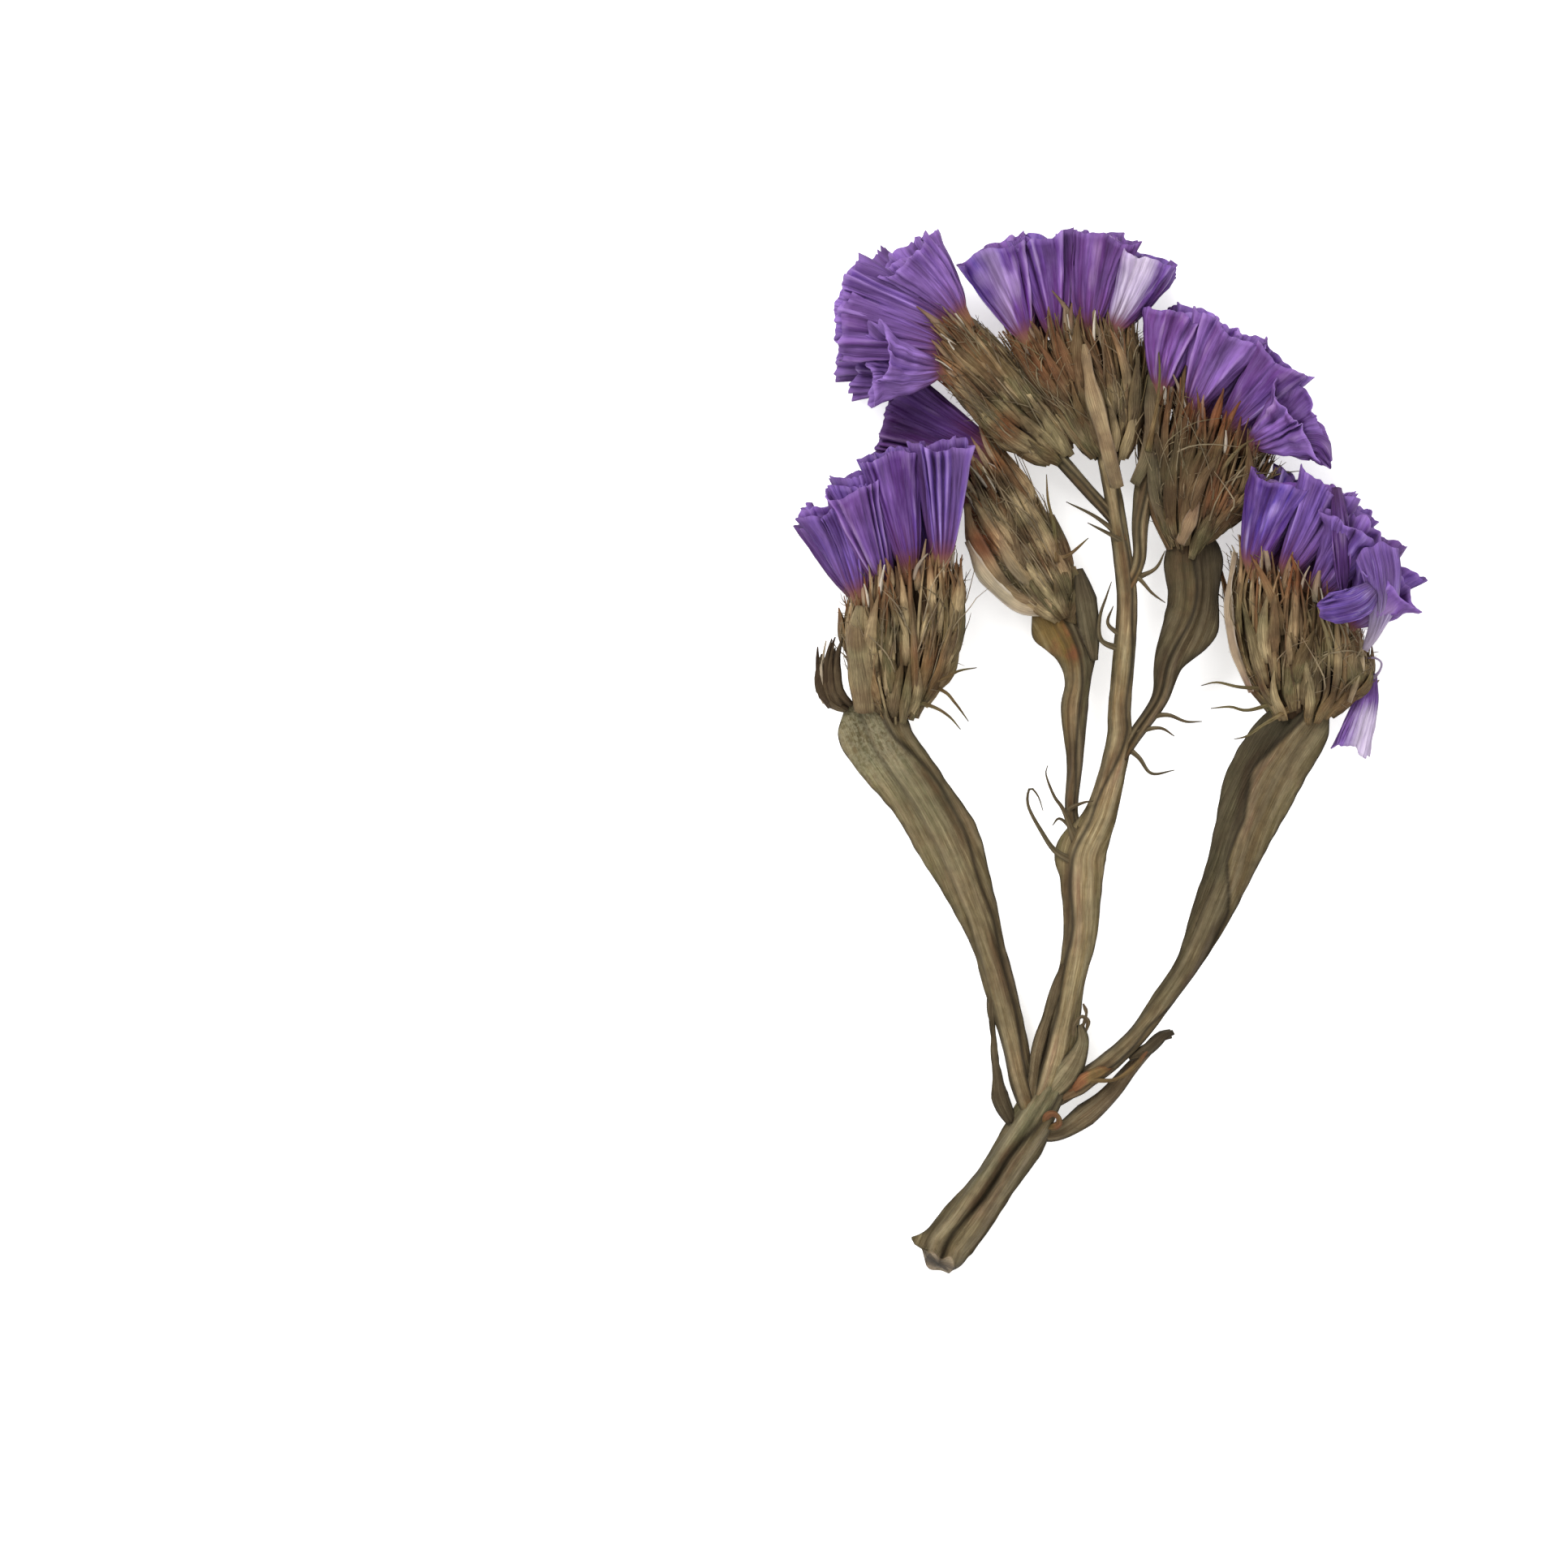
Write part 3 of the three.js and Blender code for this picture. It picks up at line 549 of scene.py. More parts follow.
HEADS = (
    HeadPlan(
        "lower_left",
        ((-15.0, 2.9, 4.2), (-13.2, 2.2, 4.3), (-10.5, 4.0, 4.4)),
        ((-16.2, 8.9, 4.2), (-13.4, 11.0, 4.6), (-9.5, 11.8, 5.1)),
        ((-17.5, 12.9, 4.2), (-15.1, 17.3, 5.1), (-9.1, 18.3, 6.0)),
        ((2, -1, 0, 0.6), (3, -0.2, 0, 1), (4, 0.8, 0, 1)),
        pleats=13, shade=0.1, swell=0.24, hue=(0.6, 1.0), light=0.1, gloom=0.0,
        stains=((-11.0, 5.4, 0.8, 0.6, 0.0), (-14.3, 5.2, 0.35, 0.0, 0.9),
            (-13.0, 5.6, 0.5, 0.0, 0.5), (-12.3, 11.2, 0.6, 0.6, 0.5)),
    ),
    HeadPlan(
        "middle_left",
        ((-3.9, 8.3, 3.3), (-3.1, 8.8, 3.3), (-2.3, 9.3, 3.3)),
        ((-8.7, 15.2, 2.8), (-8.3, 17.4, 2.8), (-7.0, 19.1, 2.8)),
        ((-13.5, 17.3, 2.3), (-14.2, 19.8, 2.5), (-11.8, 22.1, 2.7)),
        ((2, -0.35, 0, 1), (3, 0.35, 0, 1)),
        mouth=0.85, pleats=9, shade=0.68, swell=0.46, hue=(0.0, 0.3),
        stains=((-7.9, 12.8, 1.1, 1.2, 0.0), (-5.6, 13.2, 0.8, 0.0, 0.4),
            (-2.8, 9.8, 0.5, 0.0, 0.6), (-7.2, 17.6, 0.5, 0.9, 0.0), (-8.0, 16.4, 0.6, 0.0, 0.7),
            (-6.6, 16.4, 0.9, 0.0, 0.8)),
    ),
    HeadPlan(
        "upper_left",
        ((-2.6, 19.1, 4.2), (-3.5, 18.5, 4.2), (-4.7, 17.9, 4.2)),
        ((-9.2, 27.2, 4.6), (-10.4, 25.5, 4.7), (-10.3, 22.8, 4.6)),
        ((-10.8, 31.4, 4.2), (-16.6, 27.2, 4.4), (-13.5, 22.7, 4.2)),
        FULL_ROWS,
        pleats=12, open=(8,), swell=0.24, hue=(0.25, 0.8), light=1.3, gloom=-0.45,
        stains=((-9.4, 25.5, 1.2, 0.1, 0.5), (-10.7, 22.8, 0.9, 1.0, 0.2),
            (-7.6, 22.2, 1.0, 0.0, 0.5), (-5.2, 19.6, 1.0, 0.0, 0.6), (-6.4, 19.8, 0.8, 0.9, 0.1)),
    ),
    HeadPlan(
        "top",
        ((-2.3, 19.5, 4.7), (-0.4, 18.3, 4.7), (1.3, 18.9, 4.7)),
        ((-6.4, 25.2, 4.7), (-2.6, 26.1, 4.9), (1.6, 25.8, 4.7)),
        ((-9.0, 29.2, 4.1), (-2.9, 32.0, 4.4), (4.8, 28.6, 4.1)),
        FULL_ROWS,
        mouth=1.12, pleats=7, shade=0.14, light=-0.2, pale=(8,), swell=0.14, hue=(0.15, 1.0),
        gloom=0.7,
        stains=((-4.3, 23.6, 1.4, 0.8, 0.1), (-2.9, 21.4, 0.6, 0.2, 0.6),
            (1.3, 23.2, 1.0, 0.0, 0.55), (2.0, 20.5, 0.8, 0.0, 0.4), (0.3, 20.6, 0.5, 0.0, 0.5)),
    ),
    HeadPlan(
        "upper_right",
        ((3.0, 13.7, 4.5), (4.8, 12.5, 4.5), (6.4, 13.7, 4.5)),
        ((2.5, 22.6, 4.4), (6.0, 20.6, 4.6), (10.0, 18.0, 4.4)),
        ((3.2, 25.7, 4.2), (8.8, 25.2, 4.7), (13.3, 17.6, 4.3)),
        FULL_ROWS,
        mouth=1.06, pleats=7, open=(8,), swell=0.28, hue=(0.0, 0.55), light=0.55, gloom=1.2,
        stains=((3.2, 18.6, 1.3, 0.0, 0.6), (3.4, 15.6, 1.0, 0.0, 0.5), (6.8, 15.4, 1.1, 0.8, 0.0),
            (6.4, 20.8, 1.5, 1.0, 0.0)),
    ),
    HeadPlan(
        "lower_right",
        ((9.1, 3.2, 4.2), (11.7, 2.3, 4.3), (14.5, 3.0, 4.2)),
        ((7.6, 11.8, 4.3), (11.8, 10.5, 4.7), (15.5, 7.0, 4.3)),
        ((8.8, 17.0, 4.1), (14.7, 15.3, 4.6), (17.9, 9.4, 4.1)),
        FULL_ROWS,
        pleats=8, open=(7, 8), hue=(0.5, 1.0), gloom=0.4,
        stains=((13.2, 4.2, 0.8, 0.1, 1.0), (8.2, 3.8, 0.8, 1.0, 0.0), (11.6, 10.4, 1.0, 0.8, 0.1),
            (10.2, 7.3, 0.45, 0.0, 0.8), (11.9, 6.2, 0.5, 0.0, 0.6)),
    ),
)

# Curled tips and dried bracts at the foot of a head, by head. Columns: x, y, z.
HEAD_CURLS = {
    "lower_left": (
        ((-12.4, 3.8, 5.0), (-10.4, 4.4, 5.3), (-9.4, 4.9, 5.4), (-8.3, 5.1, 5.5)),
        ((-12.2, 4.2, 4.6), (-10.4, 3.7, 4.8), (-9.6, 2.9, 4.9), (-8.8, 1.8, 5.0)),
        ((-12.8, 3.2, 4.9), (-11.0, 2.7, 5.3), (-10.0, 2.1, 5.4), (-9.3, 1.3, 5.5)),
    ),
    "middle_left": (
        ((-3.4, 11.6, 4.4), (-3.5, 13.6, 4.6), (-3.9, 15.4, 4.7), (-4.0, 17.0, 4.8)),
        ((-3.6, 11.9, 4.3), (-2.7, 12.0, 4.4), (-1.4, 13.1, 4.5)),
    ),
    "upper_right": (((2.2, 18.4, 5.8), (2.7, 21.0, 6.4), (2.9, 23.0, 6.7), (2.8, 24.9, 6.6)),),
    "lower_right": (
        ((10.6, 3.8, 4.8), (8.0, 3.9, 5.0), (6.5, 4.2, 5.1), (5.5, 4.0, 5.2)),
        ((10.8, 3.2, 4.4), (8.5, 2.5, 4.6), (7.3, 2.7, 4.7), (6.1, 2.6, 4.8)),
        ((11.0, 2.6, 4.8), (9.2, 1.5, 5.3), (8.3, 0.9, 5.4), (7.5, 0.7, 5.5)),
    ),
}


@dataclass(frozen=True)
class Blade:
    """A broad dried bract of a head, or a thin blade that leaves the stem.

    Attributes:
        rows: Its course. Columns: x, y, z, half width.
        warm: How rusty a bract or how brown a stem's blade is, and above 1 how orange.
        bright: How bright it is.
        dark: How dark it is.
        cream: How far its edges have faded to cream.
    """

    rows: tuple[Row, ...]
    warm: float = 0.0
    bright: float = 0.0
    dark: float = 0.0
    cream: float = 0.0

    def sheet(self, **shape: float) -> Sheet:
        """Gives it the shape of a sheet."""
        return Sheet([row[:3] for row in self.rows], [row[3] for row in self.rows], **shape)


# Broad dried bracts beside or on a head, by head.
HEAD_BLADES = {
    "lower_left": (
        Blade(((-15.2, 2.4, 5.0, 0.6), (-15.4, 4.6, 5.6, 0.8), (-15.6, 6.8, 6.0, 0.78),
            (-15.5, 8.9, 6.1, 0.3)), bright=0.2, dark=0.1, cream=0.05),
    ),
    "middle_left": (
        Blade(((-3.6, 8.6, 3.2, 0.3), (-5.6, 8.9, 3.8, 0.42), (-7.6, 10.6, 4.4, 0.46),
            (-8.9, 12.9, 4.4, 0.2)), warm=0.1, bright=0.9, cream=0.9),
        Blade(((-2.6, 8.0, 3.3, 0.5), (-2.0, 9.6, 3.6, 0.6), (-2.3, 11.4, 3.9, 0.2)), bright=0.3,
            dark=0.5),
        Blade(((-4.6, 9.1, 3.7, 0.35), (-6.4, 9.9, 4.0, 0.5), (-7.7, 11.7, 4.2, 0.55),
            (-8.6, 13.5, 4.2, 0.5), (-8.9, 15.2, 4, 0.2)), warm=0.3, bright=0.5, dark=0.2,
            cream=0.1),
        Blade(((-4.4, 9.8, 4.2, 0.3), (-5.9, 11.4, 4.8, 0.5), (-7.2, 13.8, 4.8, 0.4),
            (-8.2, 16.2, 4.5, 0.2)), warm=0.1, bright=0.5, dark=0.2, cream=0.2),
    ),
    "top": (
        Blade(((0.3, 16.2, 6.0, 0.4), (-0.4, 18.9, 6.9, 0.46), (-1.2, 21.8, 7.2, 0.5),
            (-1.8, 24.9, 7.0, 0.2)), warm=0.15, bright=0.65, cream=0.15),
        Blade(((1.4, 16.4, 5.0, 0.3), (2.3, 18.4, 5.4, 0.5), (2.5, 21.0, 5.5, 0.5),
            (2.3, 23.6, 5.4, 0.1)), bright=0.25, dark=0.45, cream=0.1),
    ),
    "upper_right": (
        Blade(((6.2, 13.5, 5.2, 0.2), (7.3, 15.2, 5.5, 0.26), (8.3, 17.0, 5.6, 0.2),
            (9.1, 18.8, 5.4, 0.1)), warm=0.5, bright=0.8, cream=0.5),
        Blade(((4.2, 12.8, 5.5, 0.3), (4.7, 13.9, 6.1, 0.4), (5.3, 15.3, 6.2, 0.15)), warm=0.45,
            bright=0.5, dark=0.25, cream=0.2),
        Blade(((3.3, 13.6, 5.0, 0.3), (2.7, 16.0, 5.4, 0.45), (2.5, 18.6, 5.4, 0.4),
            (2.7, 21.4, 5.2, 0.1)), bright=0.2, dark=0.5, cream=0.1),
    ),
    "lower_right": (
        Blade(((8.6, 3.6, 4.8, 0.15), (7.5, 6.4, 5.0, 0.28), (7.2, 9.4, 5.0, 0.26),
            (7.6, 12.2, 5.0, 0.1)), warm=0.4, bright=0.9, cream=0.8),
        Blade(((14.6, 3.0, 5.0, 0.15), (15.3, 5.2, 5.4, 0.24), (15.0, 7.4, 5.4, 0.2),
            (14.4, 9.4, 5.2, 0.1)), warm=0.1, bright=0.9, cream=0.3),
    ),
}

# Torn scraps of bract beside a head, by head: the way that they run, and how many there are.
HEAD_TATTERS = {
    "lower_left": (
        ((-16.2, 2.6, 4.6), (-17.3, 3.3, 4.9), (-17.6, 5.4, 5.0), (-17.2, 7.3, 4.9)), 26,
    ),
}


@dataclass(frozen=True)
class Flap:
    """A flap of paper that hangs out of a head, with half its width at even steps."""

    route: tuple[Row, ...]
    halves: tuple[float, ...]
    light: float
    shade: float
    blue: float


# Flaps of paper that hang out of a head, by head.
HEAD_FLAPS = {
    "lower_right": (
        Flap(((13.7, 16.1, 7.2), (13.9, 13.8, 7.8), (14.0, 11.6, 7.9), (14.1, 9.4, 7.4)),
            halves=(0.3, 0.5, 0.55, 0.5, 0.3), light=0.2, shade=0.4, blue=0.4),
        Flap(((15.9, 9.8, 7.9), (15.0, 9.1, 8.4), (14.0, 8.8, 8.4), (12.7, 8.6, 7.8)),
            halves=(0.6, 0.95, 1.0, 1.0, 0.95), light=0.35, shade=0.0, blue=1.0),
        Flap(((15.5, 6.2, 6.0), (16.1, 7.4, 6.6), (16.5, 9.0, 7.4), (16.4, 10.9, 7.9),
            (16.0, 12.7, 8.1)), halves=(0.2, 0.5, 0.9, 1.2, 1.35), light=1.2, shade=0.0, blue=0.9),
    ),
    "upper_right": (
        Flap(((10.4, 18.6, 6.6), (11.6, 18.6, 7.1), (12.6, 18.4, 7.2), (13.3, 17.4, 7.0)),
            halves=(0.3, 0.8, 0.9, 0.5), light=0.6, shade=0.1, blue=0.4),
    ),
}


# How far the foremost and hindmost calyces of a head lie from its middle, at three places.
ROOT_DEPTH, THROAT_DEPTH, RIM_DEPTH = 0.8, 1.4, 2.5

# Where the flaps and the thread start on the flat pattern, clear of the calyces.
FLAP_PATTERN, THREAD_PATTERN = 40, 60

# The thread that the loose calyx hangs from. Columns: x, y, z.
THREAD = (
    (16.1, 4.4, 4.2), (16.5, 4.9, 4.6), (16.6, 5.4, 4.9), (16.2, 5.7, 5.0), (15.6, 5.7, 4.8),
)


@dataclass(frozen=True)
class Spikelet:
    """Where one calyx lies, how wide its mouth is, and how far it is turned on its own axis.

    Its depth is from -1 at the back of the head to 1 in front, its turn a share of a turn.
    """

    root: Array
    throat: Array
    rim: Array
    mouth: float
    turn: float
    depth: float


@dataclass(frozen=True)
class Mouth:
    """How the mouth of a calyx stands. Rise, lip and crush are in millimetres."""

    width: float
    reach: float
    rise: float
    lip: float
    flatness: tuple[float, float]
    crush: float
    light: float


FLAT_MOUTH = Mouth(1.0, 1.0, 0.0, lip=0.0, flatness=(0.36, 0.56), crush=0.13, light=0.0)
OPEN_MOUTH = Mouth(1.05, 0.84, 1.3, lip=0.3, flatness=(0.5, 0.7), crush=0.36, light=0.3)


@dataclass
class Calyces:
    """The papery calyces of one head, or a single loose one."""

    name: str
    node: str
    spikelets: list[Spikelet]
    plan: HeadPlan
    seed: int
    tube: float = 0.26
    throat: float = 0.56
    mouth: float = 2.1
    root: float = 1.2
    tube_share: float = 0.16
    flare: float = 0.8
    steepness: float = 0.4
    wall: float = 0.06

    @property
    def loose(self) -> bool:
        """Whether it is the single loose calyx."""
        return self.node == "loose_calyx"

    @staticmethod
    def spikelets_of(plan: HeadPlan, number: int) -> list[Spikelet]:
        """Places the calyces of a head by the same rule as its solids.

        Args:
            plan: The head.
            number: Which head it is, which starts the scatter.

        Returns:
            The calyces, row by row.
        """
        spikelets = []
        counter = 10 * number
        for count, depth, first, last in plan.rows:
            for column in range(int(count)):
                step = (column + 0.5 + 0.2 * scatter(counter, Step.ALONG)) / count
                share = first + (last - first) * step
                side = np.array([scatter(counter, Step.RIM), scatter(counter, Step.SIDE), 0.0])
                up = np.array([0.0, 0.0, depth])
                spikelets.append(
                    Spikelet(
                        root=through(plan.base, share) + ROOT_DEPTH * up,
                        throat=through(plan.throat, share) + 0.5 * side + THROAT_DEPTH * up,
                        rim=through(plan.rim, share) + side + RIM_DEPTH * up,
                        mouth=plan.mouth * (1 + 0.16 * scatter(counter, Step.SIZE)),
                        turn=scatter(counter, Step.TURN),
                        depth=depth,
                    )
                )
                counter += 1
        return spikelets

    def laid(
        self, lattice: Lattice, spikelet: Spikelet, mouth: Mouth, chance: Draws
    ) -> tuple[Array, Marks]:
        """Lays one calyx out: a thin tube that opens into a steeply pleated, crumpled funnel.

        Args:
            lattice: Its sleeve.
            spikelet: Where it lies.
            mouth: How its mouth stands.
            chance: The draws that crumple it.

        Returns:
            The places of its vertices and its masks.
        """
        phase = chance.uniform(0, 1, 16)
        pleats = self.plan.pleats + int(chance.integers(-2, 4))
        turns = lattice.around + spikelet.turn
        uneven = (
            turns
            + 0.04 * wave(turns, 2, phase[0])
            + 0.028 * wave(turns, 3, phase[1])
            + 0.013 * wave(turns, 7, phase[2])
        )
        opened = np.clip((lattice.along - self.tube_share) / (1 - self.tube_share), 0, 1)
        in_tube = np.clip(lattice.along / self.tube_share, 0, 1)
        drift = 0.5 * opened * wave(turns, 1, phase[3])
        coarse = pleat(pleats * uneven + drift + phase[4])
        fine = pleat((2 * pleats + 7) * uneven + phase[5] + 0.6 * opened)
        depth = 0.75 + 0.9 * wave(turns, 2, phase[6]) * wave(turns, 3, phase[7])
        depth = np.maximum(depth + 0.25 * wave(0.8 * opened + turns, 1, phase[8]), 0.1)
        folds = 0.8 * depth * coarse + 0.2 * fine
        width = self.mouth * spikelet.mouth * mouth.width
        steep = self.steepness * chance.uniform(0.65, 1.15) * spikelet.mouth
        radius = self.tube + (self.throat - self.tube) * in_tube
        radius = radius + (width - self.throat) * opened**self.flare
        radius *= 1 + 0.12 * np.cos(TURN * (2 * turns + phase[8])) * opened
        dents = np.zeros(len(turns))
        for dent in range(3):
            apart = (turns - phase[9 + dent] + 0.5) % 1 - 0.5
            dents += chance.uniform(0.05, 0.45) * bell(apart, chance.uniform(0.03, 0.08))
        dents = np.minimum(dents, 0.5)
        radius *= 1 - dents * smooth(1.3 * opened)
        crumple = 0.5 * pleat(1.9 * opened + 5 * turns + phase[12])
        crumple += 0.5 * pleat(3.1 * opened - 4 * turns + phase[13])
        lip = smooth((opened - 0.8) / 0.2)
        radius += lip * (0.14 * wave(turns, 4, phase[14]) + mouth.lip)
        ragged = (
            0.08 * coarse * depth
            + 0.24 * wave(turns, 2, phase[14])
            + 0.13 * wave(turns, 5, phase[15])
            + 0.03 * wave(turns, 17, phase[9])
        )
        limb = mouth.reach * (spikelet.rim - spikelet.throat) + np.array([0.0, 0.0, mouth.rise])
        way = unit(limb)
        foot = spikelet.throat - self.root * unit(spikelet.throat - spikelet.root)
        level, upward = sides(way)
        bow = level * chance.uniform(-0.8, 0.8) + upward * chance.uniform(-0.3, 0.5)
        centre = (
            foot
            + np.outer(in_tube, spikelet.throat - foot)
            + np.outer(opened, limb)
            + np.outer(opened**2, way) * ragged[:, None]
            + np.outer(opened**2 - opened, bow)
        )
        angle = TURN * lattice.around
        flat = chance.uniform(*mouth.flatness)
        lift = (0.03 + steep * opened**0.8) * folds + mouth.crush * opened * crumple
        lift = lift * (0.35 + 0.65 * np.abs(np.sin(angle)))
        spread = np.outer(np.cos(angle), level) + np.outer(flat * np.sin(angle), upward)
        outward = unit(np.outer(flat * np.cos(angle), level) + np.outer(np.sin(angle), upward))
        places = centre + spread * radius[:, None] + outward * lift[:, None]
        hue = chance.uniform(*self.plan.hue)
        marks = {
            # How the pleats are painted: dark as shade in their valleys and dents, light as
            # highlight on their ridges.
            "fold_shading": np.clip(0.5 + 0.58 * folds - 0.5 * dents + 0.25 * crumple * opened, 0, 1),
            "along": lattice.along,
            "tint": hue + 0.4 * wave(turns + 0.3 * opened, 1, phase[6]),
            "light": self.plan.light + chance.uniform(0, 1) ** 1.6 + mouth.light,
            # Painted shade: the head's share, more on the back row and on each calyx's sides, which
            # turn away.
            "shade": self.plan.shade
            + (0.3 if spikelet.depth < -0.5 else 0.0)
            + 0.3 * smooth((np.abs(np.cos(angle)) - 0.78) / 0.22),
        }
        return places, marks

    def add_flaps(self, fused: Fused, chance: Draws) -> None:
        """Adds the flaps of paper that hang out of the head.

        Args:
            fused: What they are added to.
            chance: The draws that crumple them.
        """
        strip = Lattice.strip(18, 22)
        for number, flap in enumerate(HEAD_FLAPS.get(self.plan.name, ())):
            places = Sheet(flap.route, flap.halves, arch=0.45, ruffle=0.16).laid(strip)
            phase = chance.uniform(0, 1, 4)
            share = 0.5 + 0.5 * strip.around
            bend = 0.5 * wave(share + 0.6 * strip.along, 1, phase[1])
            folds = pleat((1.2 + 1.6 * max(flap.halves)) * share + phase[0] + bend)
            crumple = pleat(1.3 * share + 2.2 * strip.along + phase[2] + bend)
            relief = 0.6 * folds + 0.4 * crumple
            places[:, 2] += 0.28 * relief * smooth(1.4 * strip.along)
            way = unit(np.asarray(flap.route[-1], float) - np.asarray(flap.route[-2], float))
            ragged = 0.12 * wave(share, 2.3, phase[3]) - 0.7 * strip.around**2
            places += np.outer(ragged * strip.along**3, way)
            marks = {
                # Painted shade in the flap's hollows and painted highlight on its raised folds.
                "fold_shading": np.clip(0.55 + 0.5 * relief, 0, 1),
                "along": 0.36 + 0.64 * strip.along,
                "tint": flap.blue,
                "light": flap.light,
                # The head's painted shade, with the flap's own darkening added.
                "shade": self.plan.shade + flap.shade,
                "pale": flap.light * (1 - strip.along) ** 1.5,
            }
            pattern = np.stack([share + FLAP_PATTERN + number, strip.along], axis=1)
            fused.add(strip, places, pattern, marks)

    @staticmethod
    def add_thread(fused: Fused) -> None:
        """Adds the thin curled thread that a loose calyx hangs from.

        Args:
            fused: What it is added to.
        """
        rod = Lattice.rod(6, 22)
        places = laid_rod(rod, THREAD, (0.14, 0.08, 0.07, 0.09))
        marks = {"fold_shading": 0.7, "along": 0.5, "tint": 0.4, "light": 1.0, "shade": 0.0, "pale": 0.9}
        pattern = np.stack([rod.around + THREAD_PATTERN, rod.along], axis=1)
        fused.add(rod, places, pattern, marks)

    def build(self, paper: Material) -> Piece:
        """Builds the piece.

        Args:
            paper: Its material.

        Returns:
            The piece.
        """
        front, middle, back = (
            Lattice.sleeve(columns, rows) for columns, rows in ((144, 18), (108, 13), (64, 9))
        )
        chance = np.random.default_rng(self.seed)
        fused = Fused()
        for number, spikelet in enumerate(self.spikelets):
            lattice = front if spikelet.depth > 0.3 else middle if spikelet.depth > -0.5 else back
            mouth = OPEN_MOUTH if number in self.plan.open else FLAT_MOUTH
            places, marks = self.laid(lattice, spikelet, mouth, chance)
            rightward = np.cos(TURN * lattice.around)
            streak = smooth(1.15 - 1.15 * np.abs(rightward + 0.15))
            marks["pale"] = (number in self.plan.pale) * streak
            if self.loose:
                marks["pale"] = smooth(0.8 - 0.75 * rightward) * smooth(2.4 * lattice.along - 0.3)
                marks["along"] = 0.42 + 0.58 * lattice.along
            pattern = np.stack([lattice.around + 2 * number, lattice.along], axis=1)
            fused.add(lattice, places, pattern, marks)
        self.add_flaps(fused, chance)
        parts = [fused.piece(self.name, paper, self.wall)]
        if self.loose:
            threads = Fused()
            self.add_thread(threads)
            parts.append(threads.piece("thread", paper))
        return dressed(self.name, parts, self.node)


# How bright a bract is that catches the light, and one that doesn't.
SUNLIT, UNLIT = (0.7, 1), (0, 0.26)

# The radii of a curled tip along it, and its height as a share of its width.
TIP_RADII, TIP_FLAT = (0.26, 0.16, 0.12, 0.09, 0.03), 0.7


